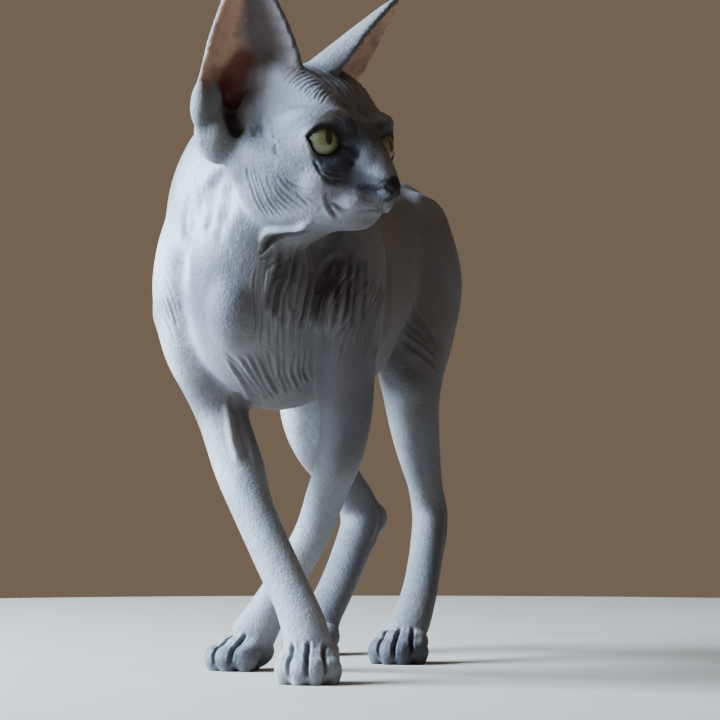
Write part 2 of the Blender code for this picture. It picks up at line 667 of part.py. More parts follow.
def name_nodes(pieces):
    """Each node's name goes to the largest loose piece near its place."""
    places = dict(NODE_PLACES)
    for name in EARS:
        places[name] = tuple(head_frame() @ Vector(ear_point(name, 0, 0.55, 2)))
    for piece in sorted(pieces, key=lambda p: -len(p.data.vertices)):
        middle = vertex_array(piece.data).mean(0)
        name = min(places, key=lambda n: np.linalg.norm(middle - np.array(places[n])))
        piece.name = name
        del places[name]


def give_look(obj):
    colour, roughness = next(look for word, look in LOOKS.items() if word in obj.name)
    material = bpy.data.materials.new(obj.name + "_look")
    material.use_nodes = True
    shader = material.node_tree.nodes["Principled BSDF"]
    shader.inputs["Base Color"].default_value = (*colour, 1)
    shader.inputs["Roughness"].default_value = roughness
    shader.inputs["Metallic"].default_value = 0.0
    obj.data.materials.append(material)
    obj.data.shade_smooth()
    obj.data.set_sharp_from_angle(angle=math.radians(SHARP_ANGLE))


def place_nodes():
    """Puts each node's origin in its own middle, under an empty at the middle of the foot of the whole box."""
    nodes = [obj for obj in bpy.data.objects if obj.type == "MESH"]
    points = np.vstack([vertex_array(obj.data) for obj in nodes])
    low, high = points.min(0), points.max(0)
    shift = Vector((-(low[0] + high[0]) / 2, -(low[1] + high[1]) / 2, -low[2]))
    cat = bpy.data.objects.new("sphynx_cat", None)
    bpy.context.scene.collection.objects.link(cat)
    for obj in nodes:
        own = vertex_array(obj.data)
        middle = Vector((own.min(0) + own.max(0)) / 2)
        obj.data.transform(Matrix.Translation(-middle))
        obj.location = middle + shift
        obj.parent = cat
        give_look(obj)


def main():
    for obj in list(bpy.data.objects):
        bpy.data.objects.remove(obj)
    body = shaped_body()
    thin(body, TRIANGLES)
    subtract(body, below_floor())
    open_eyes(body)
    for middle, facing, radius in FLAT_CUTS:
        subtract(body, disc(middle, facing, radius))
    for middle, facing, radius in HEAD_CUTS:
        subtract(body, disc(middle, facing, radius, head_frame()))
    for middle, radii, lean in ROUND_CUTS:
        subtract(body, shell(middle, radii, lean))
    name_nodes(split_loose(body))
    for name, side in SIDES.items():
        ball("eye_" + name, eye_frame(side), EYE_RADIUS, 12)
    place_nodes()


main()
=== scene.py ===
"""How the sphynx cat looks: one wrinkled skin over the fixed solids, lids that open on two set-in eyes, and
the floor, soft light and camera of the photograph's view.

The skin is made from nearly the same forms as the solids, in the cat's body frame: metres, origin on the floor
under the middle of the shoulders, the cat facing -Y, its own left +X. It is then moved to where model.glb has
the solids. Only the shoulder blades are smaller than in the solids.
"""

import math

import bmesh
import bpy
import numpy as np
from mathutils import Euler, Matrix, Vector
from mathutils.bvhtree import BVHTree
from mathutils.kdtree import KDTree


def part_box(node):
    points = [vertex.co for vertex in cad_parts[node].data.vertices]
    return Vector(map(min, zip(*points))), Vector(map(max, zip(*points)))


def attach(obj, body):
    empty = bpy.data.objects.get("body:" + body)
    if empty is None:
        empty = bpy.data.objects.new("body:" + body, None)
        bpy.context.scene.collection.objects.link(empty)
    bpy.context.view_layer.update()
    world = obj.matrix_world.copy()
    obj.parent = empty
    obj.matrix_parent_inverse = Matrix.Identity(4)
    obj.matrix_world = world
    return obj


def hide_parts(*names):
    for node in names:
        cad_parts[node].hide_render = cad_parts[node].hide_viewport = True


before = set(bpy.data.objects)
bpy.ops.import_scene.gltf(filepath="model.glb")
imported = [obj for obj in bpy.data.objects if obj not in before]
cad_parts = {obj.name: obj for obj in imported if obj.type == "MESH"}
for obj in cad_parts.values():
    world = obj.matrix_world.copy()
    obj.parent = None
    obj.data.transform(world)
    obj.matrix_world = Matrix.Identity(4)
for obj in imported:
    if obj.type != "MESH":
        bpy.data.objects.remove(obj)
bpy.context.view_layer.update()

MM = 0.001

# The photograph's view: place in metres, degrees to the left, degrees upwards, focal length in pixels
CAMERA_PLACE = (0.4676, -1.79705, 0.11)
CAMERA_HEADING = 15.0
CAMERA_RISE = 2.344
CAMERA_FOCAL = 2963
FLOOR_RADIUS = 1.0


def metres(rows):
    """Rows of numbers in millimetres, in metres."""
    return [tuple(value / 1000 for value in row) for row in rows]


# Driving dimensions of the forms, as in the solids
HEAD_SIZE = 1.12  # scales the head's own forms, which are given in millimetres
HEAD_CENTRE = (0.0420, -0.0579, 0.292)
HEAD_TURN = 60.0  # degrees to the cat's left of straight ahead
HEAD_NOD = 6.0  # degrees, nose down
EYE_RADIUS = 10.0
EYE_CENTRE = (18.7, -24.7, 2.0)
EYE_OUTWARD = 14.0  # degrees that each eye looks away from straight ahead
VOXEL = 1.3 * MM

# The trunk from breastbone to rump, in millimetres: y, z, half width, half height
TRUNK = metres([
    (-60, 203, 16, 22),
    (-45, 205, 32, 44),
    (-20, 211, 43, 58),
    (10, 216, 49, 66),
    (50, 219, 50, 65),
    (90, 222, 50, 62),
    (130, 227, 48, 58),
    (165, 235, 45, 53),
    (200, 245, 42, 50),
    (235, 255, 43, 51),
    (265, 262, 42, 46),
    (290, 262, 34, 38),
    (306, 262, 20, 24),
])

# Tubes, in millimetres: x, y, z, half width, half depth at each station
NECK = metres([
    (-6, 30, 234, 52, 46),
    (-6, 8, 248, 54, 50),
    (-3, -10, 266, 51, 47),
    (4, -22, 284, 45, 41),
    (16, -34, 300, 36, 33),
])
TAIL = metres([
    (0, 280, 284, 20, 18),
    (0, 306, 280, 12.5, 12.5),
    (-1, 336, 264, 9.5, 9.5),
    (-3, 364, 234, 8.2, 8.2),
    (-6, 386, 194, 7.2, 7.2),
    (-9, 404, 150, 6.2, 6.2),
    (-12, 422, 110, 5.2, 5.2),
    (-16, 447, 82, 4.2, 4.2),
    (-21, 476, 72, 3, 3),
])
FORE_RIGHT = metres([
    (-34, 30, 262, 9, 18),
    (-43, 14, 250, 18, 34),
    (-44, -4, 222, 20, 36),
    (-40, -10, 196, 19, 32),
    (-34, 0, 170, 16.5, 26),
    (-27.5, 3, 147, 14.2, 20),
    (-14.5, -7, 118, 14.4, 15.5),
    (-3, -18, 95, 12.2, 13),
    (15.5, -31, 64, 11.8, 11.5),
    (26.5, -38, 46, 11.8, 11.5),
    (34, -44, 32, 12.6, 11.2),
    (38, -48, 20, 13.8, 11.2),
])
FORE_LEFT = metres([
    (34, 36, 262, 9, 18),
    (43, 22, 250, 18, 34),
    (47, 4, 222, 20, 36),
    (47, 0, 196, 19, 32),
    (43, 12, 170, 16, 27),
    (41, 21, 147, 14.5, 21),
    (35, 26, 122, 12.8, 16.5),
    (26, 32, 103, 11.5, 13.5),
    (15.5, 38, 79, 10.8, 11.2),
    (-4, 45, 50, 10.5, 11),
    (-15, 48, 33, 11.8, 11),
    (-23, 50, 21, 13.5, 11),
])
HIND_LEFT = metres([
    (28, 262, 276, 16, 30),
    (34, 246, 246, 21, 43),
    (34, 226, 216, 21, 43),
    (33.5, 202, 186, 21, 34),
    (38, 188, 158, 16.5, 26),
    (40, 195, 132, 13.5, 20),
    (41.8, 207, 108, 10.8, 14),
    (43.8, 212, 86, 11.2, 14),
    (46, 190, 62, 10.8, 11),
    (48, 166, 42, 11.2, 9.8),
    (47, 149, 26, 12.5, 9.8),
    (45, 142, 18, 13, 10),
])
HIND_RIGHT = metres([
    (-28, 262, 276, 16, 30),
    (-34, 250, 246, 21, 43),
    (-36, 240, 216, 21, 43),
    (-38, 230, 186, 20, 34),
    (-42, 226, 160, 16.5, 26),
    (-40, 246, 134, 14.5, 19.5),
    (-29, 274, 108, 12, 14),
    (-21.5, 288, 86, 13.2, 14),
    (-23.6, 266, 62, 12.4, 11.2),
    (-26.5, 241, 40, 12.2, 10),
    (-29.5, 224, 26, 12.8, 9.8),
    (-31, 217, 18, 13, 10),
])

# Paws: x, y of the middle, heading in degrees to the cat's left of straight ahead, width and length scale
PAWS = {
    "paw_fore_right": (0.040, -0.0530, 12.0, 1.00, 1.00),
    "paw_fore_left": (-0.031, 0.0480, -32.0, 1.06, 1.03),
    "paw_hind_left": (0.044, 0.1340, 2.0, 1.00, 1.00),
    "paw_hind_right": (-0.032, 0.2080, -12.0, 1.00, 1.00),
}

SIDES = {"left": 1, "right": -1}

# Bones and muscles that round out the tubes, in millimetres: middle, radii, degrees turned about x
BULGES = [
    # Belly and point of the breast
    (0, 115, 206, 44, 72, 46, 0),
    (2, -40, 222, 34, 32, 52, 12),
    # Shoulder blades, points of the shoulders and hip muscles
    (34, 24, 254, 12, 36, 26, 20),
    (-34, 24, 254, 12, 36, 26, 20),
    (46, -22, 206, 14, 17, 18, 0),
    (-46, -22, 206, 14, 17, 18, 0),
    (28, 232, 282, 13, 18, 14, 0),
    (-28, 232, 282, 13, 18, 14, 0),
    # Elbows, heels and kneecaps
    (-30, 20, 149, 8.5, 12, 12, 0),
    (42, 36, 148, 8.5, 12, 12, 0),
    (44.5, 224, 87, 7.5, 9, 12, -25),
    (-13.5, 299, 85, 7.5, 9, 12, -25),
    (40, 172, 166, 10, 12, 15, 0),
    (-43, 208, 167, 10, 12, 15, 0),
]

# The head's forms, in its own millimetres: middles and radii, on the middle line and on both sides
HEAD_MIDDLE = [
    (0, 14, 10, 28, 34, 31),
    (0, -9, 15, 22, 21, 20),
    (0, -35, -18, 15, 17, 13),
    (0, -48, -25, 6.5, 7, 6.5),
    (0, -36, -31, 8.5, 9.5, 6.5),
    (0, -12, -27, 19, 27, 13),
    (0, 10, -30, 22, 26, 18),
    (0, -57.5, -18.5, 7, 4.5, 5),
]
HEAD_PAIRS = [
    (20, -9, 4, 11, 17, 13),
    (17, 15, 33, 11, 10, 10.5),
    (10, -31, -3, 7, 8, 9),
    (17, -27, -15, 12, 13, 12),
    (20, 2, -14, 16, 26, 21),
    (7.5, -39.5, -23.5, 8.5, 10.5, 8.5),
    (24, 22, 6, 13, 17, 17),
    (33, 33, 5, 10, 12, 16),
    (40, 23, 1, 10, 9, 13),
    (31.5, 13, -9, 7.5, 10, 12),
]
# Tubes of the head: the nose's bridge, then those on both sides, which are the brow, temple, cheekbone and jaw
BRIDGE = [(0, -12, 18, 14, 9), (0, -28, 9, 12, 9), (0, -43, -4, 9.5, 8), (0, -53, -14, 7.5, 6.5)]
HEAD_ROLLS = [
    [(6, -32, 11, 5, 5), (13, -32.5, 13, 5, 5), (20, -30, 13.5, 5.5, 5), (25, -19, 12, 6.5, 6),
     (24, -6, 9, 6, 7)],
    [(13, -26, 16, 6, 6), (14, -12, 26, 8, 8), (16, 4, 32, 9, 9)],
    [(15, -33, -10, 7, 7), (25, -18, -10, 8, 8), (29, 2, -7, 9, 9), (28, 20, -2, 9, 9)],
    [(4, -37, -31, 6, 6), (12, -26, -30.5, 8, 7.5), (18, -8, -29, 10, 9), (20, 10, -25, 11, 9)],
]
EYE_SOCKET = 11.8

EARS = {
    # root, tip and the way the cup opens, in the head's millimetres, and the cup's half width
    "ear_right": ((-28.5, 16, 17), (-39, 13, 88), (-0.65, -0.75, 0.05), 26),
    "ear_left": ((19.5, 17, 28), (53, -1.5, 78), (0.66, -0.75, 0.05), 30),
}

# Lines drawn into the head, in its own millimetres: path, width, depth
LIP_LINE = [(0, -55, -28), (4, -52, -29.5), (8, -47, -30.5), (12, -40, -29.5), (15, -34, -26)]
HEAD_LINES = [
    (LIP_LINE, 1.2, 1.8),
    ([(15, -34, -26), (16.5, -34, -20), (16, -36, -14)], 1.3, 0.8),
    ([(0, -62, -22), (0, -57, -30)], 1.3, 1.6),
    ([(3.4, -62, -19), (5.0, -59.5, -18)], 1.2, 1.4),
    ([(5.0, -59.5, -18), (7.5, -54, -20)], 1.1, 0.8),
    ([(10.5, -38, 1), (8, -42, -3)], 1.6, 1.6),
    ([(33.5, 24, 27), (33, 21.5, 18), (35.5, 18.5, 9), (35.5, 16, 6)], 3.8, 5.0),
]


def curve_through(stations, steps):
    """The stations with steps - 1 more between each two, on a Catmull-Rom curve."""
    rows = np.array(stations, float)
    padded = np.vstack([2 * rows[0] - rows[1], rows, 2 * rows[-1] - rows[-2]])
    out = []
    for i in range(1, len(padded) - 2):
        a, b, c, d = padded[i - 1 : i + 3]
        for t in np.arange(steps) / steps:
            bend = (2 * a - 5 * b + 4 * c - d) * t**2 + (3 * b - a - 3 * c + d) * t**3
            out.append(0.5 * (2 * b + (c - a) * t + bend))
    out.append(padded[-2])
    return np.array(out)


def unit(v):
    return v / np.maximum(np.linalg.norm(v, axis=-1, keepdims=True), 1e-12)


def add_strip(forms, first, second):
    """Faces between two rows of vertices."""
    for k in range(len(first) - 1):
        forms.faces.new((first[k], first[k + 1], second[k + 1], second[k]))


def add_loft(forms, stations, side=(1, 0, 0), matrix=None, ring=20, steps=5):
    """Adds a tube of oval rings with domed ends. Half widths lie along side, half depths across it."""
    rows = curve_through(stations, steps)
    centres, half = rows[:, :3], np.maximum(rows[:, 3:5], 1e-5)
    along = unit(np.gradient(centres, axis=0))
    across = unit(np.array(side, float) - along * (along @ np.array(side, float))[:, None])
    over = np.cross(along, across)
    dome = [math.radians(a) for a in (75, 50, 25)]
    ends = []
    for i, way in ((0, -1), (-1, 1)):
        out = along[i] * way * half[i].min()
        ends.append([(centres[i] + out * math.sin(a), half[i] * math.cos(a), i) for a in dome])
    rings = ends[0] + [(centres[i], half[i], i) for i in range(len(rows))] + ends[1][::-1]
    tips = [centres[0] - along[0] * half[0].min(), centres[-1] + along[-1] * half[-1].min()]
    angles = np.arange(ring) * 2 * math.pi / ring
    move = matrix or Matrix.Identity(4)
    made = []
    for centre, size, i in rings:
        wide = np.outer(np.cos(angles) * size[0], across[i])
        deep = np.outer(np.sin(angles) * size[1], over[i])
        loop = [forms.verts.new(move @ Vector(p)) for p in centre + wide + deep]
        made.append(loop + loop[:1])
    for low, high in zip(made, made[1:]):
        add_strip(forms, low, high)
    for tip, loop in ((tips[0], made[0][::-1]), (tips[1], made[-1])):
        pole = forms.verts.new(move @ Vector(tip))
        for a, b in zip(loop, loop[1:]):
            forms.faces.new((a, b, pole))


def add_ellipsoid(forms, centre, radii, matrix=None, turn=(0, 0, 0)):
    place = Matrix.LocRotScale(Vector(centre), Euler([math.radians(a) for a in turn]), Vector(radii))
    bmesh.ops.create_icosphere(forms, subdivisions=3, radius=1.0, matrix=(matrix or Matrix.Identity(4)) @ place)


def head_frame():
    """From the head's own millimetres, nose towards -y, to the body frame."""
    turn = Euler((math.radians(HEAD_NOD), 0, math.radians(HEAD_TURN)))
    return Matrix.LocRotScale(Vector(HEAD_CENTRE), turn, Vector((HEAD_SIZE * MM,) * 3))


def eye_frame(side):
    """From the eye's own frame, in the head's millimetres, looking along -y, to the body frame."""
    x, y, z = EYE_CENTRE
    gaze = Euler((math.radians(-3), 0, math.radians(side * EYE_OUTWARD)))
    return head_frame() @ Matrix.LocRotScale(Vector((side * x, y, z)), gaze, Vector((1, 1, 1)))


def add_body(forms):
    add_loft(forms, [(0, *row) for row in TRUNK], ring=28)
    add_loft(forms, NECK, ring=24)
    add_loft(forms, TAIL, ring=14)
    for stations in (FORE_RIGHT, FORE_LEFT, HIND_LEFT, HIND_RIGHT):
        add_loft(forms, stations)
    for *ball, turn in BULGES:
        ball = [value / 1000 for value in ball]
        add_ellipsoid(forms, ball[:3], ball[3:], turn=(turn, 0, 0))


def paw_frame(name):
    x, y, heading, wide, long = PAWS[name]
    turn = Euler((0, 0, math.radians(heading)))
    return Matrix.LocRotScale(Vector((x, y, 0)), turn, Vector((wide * MM, long * MM, MM)))


def add_paw(forms, name):
    """Four toes round the front of the foot, with a knuckle, a tip and a pad each."""
    place = paw_frame(name)
    add_ellipsoid(forms, (0, 7, 11), (14, 15, 11), place)
    add_ellipsoid(forms, (0, 4, 3.5), (10, 9, 5), place)
    for x, y, fan in ((-13.2, -3, 16), (-4.6, -9, 5), (4.6, -9, -5), (13.2, -3, -16)):
        add_ellipsoid(forms, (x * 0.9, y + 3.5, 12.8), (4.9, 7.5, 7), place, turn=(18, 0, fan))
        add_ellipsoid(forms, (x, y - 4, 7.4), (5.3, 7.5, 7.8), place, turn=(0, 0, fan))
        add_ellipsoid(forms, (x, y - 4, 1.2), (4.0, 5.0, 3), place)
    if "fore" in name:
        inner = -1 if "left" in name else 1
        add_ellipsoid(forms, (inner * 12, 14, 17), (4, 5, 5.5), place)
        add_ellipsoid(forms, (0, 19, 21), (5, 4.5, 4), place)


def add_head(forms):
    head = head_frame()
    add_loft(forms, BRIDGE, matrix=head)
    for ball in HEAD_MIDDLE:
        add_ellipsoid(forms, ball[:3], ball[3:], head)
    for side in SIDES.values():
        for x, y, z, *radii in HEAD_PAIRS:
            add_ellipsoid(forms, (side * x, y, z), radii, head)
        for stations in HEAD_ROLLS:
            add_loft(forms, [(side * x, *rest) for x, *rest in stations], side=(0, 0, 1), matrix=head)
        x, y, z = EYE_CENTRE
        add_ellipsoid(forms, (side * x, y + 0.5, z), (EYE_SOCKET,) * 3, head)


def ear_point(name, u, v, depth):
    """A point of the ear's sheet: u from inner edge, -1, to outer, 1, v from root to tip, depth behind it."""
    root, tip, opening = (np.array(p, float) for p in EARS[name][:3])
    side = 1 if name == "ear_left" else -1
    rise = tip - root
    length = np.linalg.norm(rise)
    up = rise / length
    face = unit(opening - up * (opening @ up))
    out = np.cross(up, face)
    out = out * (side * np.sign(out[0]))
    notch = 1 - 0.2 * max(u, 0) * (1 - min(v / 0.3, 1))
    width = EARS[name][3] * (1 - min(v, 1) ** 1.7) ** 0.9 * notch + 0.001
    cup = (20 * (1 - v) ** 1.1 + 2) * min(1, width / 8)
    bend = math.radians(100 - 45 * v)
    height = v * length - (1 - v) * 22 * (u * 0.5 + 0.35)
    away = width * math.sin(u * bend) / (math.sin(bend) if bend < math.pi / 2 else 1)
    back = cup * (math.cos(u * bend) - math.cos(bend)) / (1 - math.cos(bend))
    behind = back - cup * 0.5 + depth * math.cos(u * bend * 0.9)
    return root + up * height + out * away - face * behind + out * depth * math.sin(u)


def add_ear(forms, name, across=14, rows=16):
    """A cupped sheet of skin with a rounded rim, closed at its root inside the head."""
    head = head_frame()
    layers = []
    for depth_root, depth_tip in ((0.0, 0.0), (4.2, 2.8)):
        grid = []
        for j in range(rows + 1):
            v = 1 - (1 - j / rows) ** 1.5
            depth = depth_root + (depth_tip - depth_root) * v
            u_row = [-1 + 2 * i / across for i in range(across + 1)]
            grid.append([forms.verts.new(head @ Vector(ear_point(name, u, v, depth))) for u in u_row])
        layers.append(grid)
        for low, high in zip(grid, grid[1:]):
            add_strip(forms, low, high)
    inner, outer = layers
    for end in (0, -1):
        add_strip(forms, inner[end], outer[end])
        add_strip(forms, [row[end] for row in inner], [row[end] for row in outer])


def add_ear_pocket(forms, name):
    """The small puffy fold low on the ear's outer edge."""
    side = 1 if name == "ear_left" else -1
    edge = ear_point(name, 1.0, 0.2, 2.0)
    add_ellipsoid(forms, edge + np.array((side * -0.8, 0, 3.0)), (4.2, 5.5, 11.5), head_frame())
    add_ellipsoid(forms, edge + np.array((side * -9.5, 1.0, 3.6)), (6.5, 5.5, 14), head_frame())


def new_object(name, forms):
    mesh = bpy.data.meshes.new(name)
    bmesh.ops.recalc_face_normals(forms, faces=forms.faces)
    forms.to_mesh(mesh)
    forms.free()
    obj = bpy.data.objects.new(name, mesh)
    bpy.context.scene.collection.objects.link(obj)
    return obj


def apply_modifiers(obj):
    graph = bpy.context.evaluated_depsgraph_get()
    mesh = bpy.data.meshes.new_from_object(obj.evaluated_get(graph))
    obj.modifiers.clear()
    obj.data = mesh


def fused_body():
    forms = bmesh.new()
    add_body(forms)
    for name in PAWS:
        add_paw(forms, name)
    add_head(forms)
    for name in EARS:
        add_ear(forms, name)
        add_ear_pocket(forms, name)
    body = new_object("body", forms)
    remesh = body.modifiers.new("fuse", "REMESH")
    remesh.mode = "VOXEL"
    remesh.voxel_size = VOXEL
    apply_modifiers(body)
    return body


def vertex_array(mesh, what="point"):
    """The vertices' points, or their normals, as rows."""
    values = np.empty(len(mesh.vertices) * 3, np.float32)
    if what == "point":
        mesh.vertices.foreach_get("co", values)
    else:
        mesh.vertex_normals.foreach_get("vector", values)
    return values.reshape(-1, 3).astype(float)


def place_vertices(mesh, points):
    mesh.vertices.foreach_set("co", points.astype(np.float32).ravel())
    mesh.update()


def moved(points, matrix):
    """The points through a 4 by 4 matrix."""
    table = np.array(matrix)
    return points @ table[:3, :3].T + table[:3, 3]


def bell(away, width):
    """1 at 0, falling away to both sides."""
    return np.exp(-((away / width) ** 2))


def moving_part(mesh, strength):
    """The vertices whose strength isn't 0, that strength, and what gives the mean of each one's neighbours."""
    strength = np.broadcast_to(strength, (len(mesh.vertices), 1))
    index = np.flatnonzero(strength[:, 0])
    place = np.full(len(strength), -1)
    place[index] = np.arange(len(index))
    edges = np.empty(len(mesh.edges) * 2, np.int32)
    mesh.edges.foreach_get("vertices", edges)
    a, b = edges.reshape(-1, 2).T
    ends, others = place[np.r_[a, b]], np.r_[b, a]
    ends, others = ends[ends >= 0], others[ends >= 0]
    count = np.bincount(ends, minlength=len(index))

    def neighbour_mean(points):
        sums = [np.bincount(ends, points[others, k], len(index)) for k in range(3)]
        return np.stack(sums, 1) / count[:, None]

    return index, strength[index], neighbour_mean


def fill_creases(obj, rounds, strength):
    """Rounds the hollows where forms meet, strength being one number or one for each vertex."""
    mesh = obj.data
    points = vertex_array(mesh)
    index, strength, neighbour_mean = moving_part(mesh, strength)
    for _ in range(rounds):
        normals = vertex_array(mesh, "normal")[index]
        outward = ((neighbour_mean(points) - points[index]) * normals).sum(1, keepdims=True)
        points[index] += strength * np.maximum(outward, 0) * normals
        place_vertices(mesh, points)


def crease_strength(mesh, full):
    """Full on the body, little on the toes and none on the ears."""
    points = vertex_array(mesh)
    above_feet = np.clip((points[:, 2] - 0.03) / 0.02, 0, 1)
    return (full * (0.2 + 0.8 * above_feet) * (1 - in_ears(mesh)[:, 0]))[:, None]


def head_points(mesh):
    """The vertices in the head's own millimetres."""
    return moved(vertex_array(mesh), head_frame().inverted())


def in_ears(mesh):
    return np.clip((head_points(mesh)[:, 2:] - 36) / 10, 0, 1)


def in_head(mesh):
    points = head_points(mesh)
    near = np.clip((60 - np.linalg.norm(points * (1, 0.85, 1) - (0, -10, -8), axis=1)) / 15, 0, 1)[:, None]
    return near * (1 - in_ears(mesh))


def path_distance(points, path):
    """How far each point is from the line through the path."""
    nearest = np.full(len(points), np.inf)
    for a, b in zip(path, path[1:]):
        a, b = np.array(a, float), np.array(b, float)
        t = np.clip(((points - a) @ (b - a)) / ((b - a) @ (b - a)), 0, 1)
        nearest = np.minimum(nearest, np.linalg.norm(points - a - t[:, None] * (b - a), axis=1))
    return nearest


def draw_lines(obj, lines):
    """Presses each line into both sides of the head, where it lies nearest to the skin."""
    mesh = obj.data
    points = head_points(mesh)
    skin = BVHTree.FromPolygons([Vector(p) for p in points], [f.vertices for f in mesh.polygons])
    depth = np.zeros(len(points))
    for side in SIDES.values():
        for path, width, deep in lines:
            curve = curve_through([(side * x, y, z) for x, y, z in path], 4)
            placed = [skin.find_nearest(Vector(p))[0] for p in curve]
            depth = np.maximum(depth, deep * bell(path_distance(points, placed), width))
    place_vertices(mesh, vertex_array(mesh) - vertex_array(mesh, "normal") * depth[:, None] * HEAD_SIZE * MM)


def smooth(obj, rounds, strength):
    """Evens out the surface, strength being one number or one for each vertex."""
    points = vertex_array(obj.data)
    index, strength, neighbour_mean = moving_part(obj.data, strength)
    for _ in range(rounds):
        points[index] += strength * (neighbour_mean(points) - points[index])
    place_vertices(obj.data, points)


def shaped_body():
    """The whole cat as one closed surface."""
    body = fused_body()
    fill_creases(body, 60, crease_strength(body.data, 0.5))
    fill_creases(body, 120, in_head(body.data) * 0.5)
    smooth(body, 12, crease_strength(body.data, 0.5))
    draw_lines(body, HEAD_LINES)
    return body


# Lids, in the eye's own frame and the head's millimetres
LID_HALF_WIDTH = 9.8
LID_RISE = 8.1  # of the upper lid above the middle of the eye
LID_DROP = 8.6  # of the lower lid below it
LID_TILT = 9.0  # degrees that the outer corner stands above the inner one
PUPIL_RISE = 0.18  # of the pupil's middle above the eye's, in eye radii
LID_STEP = 0.8  # over which the skin dips from the lid's rim to behind the eye's surface

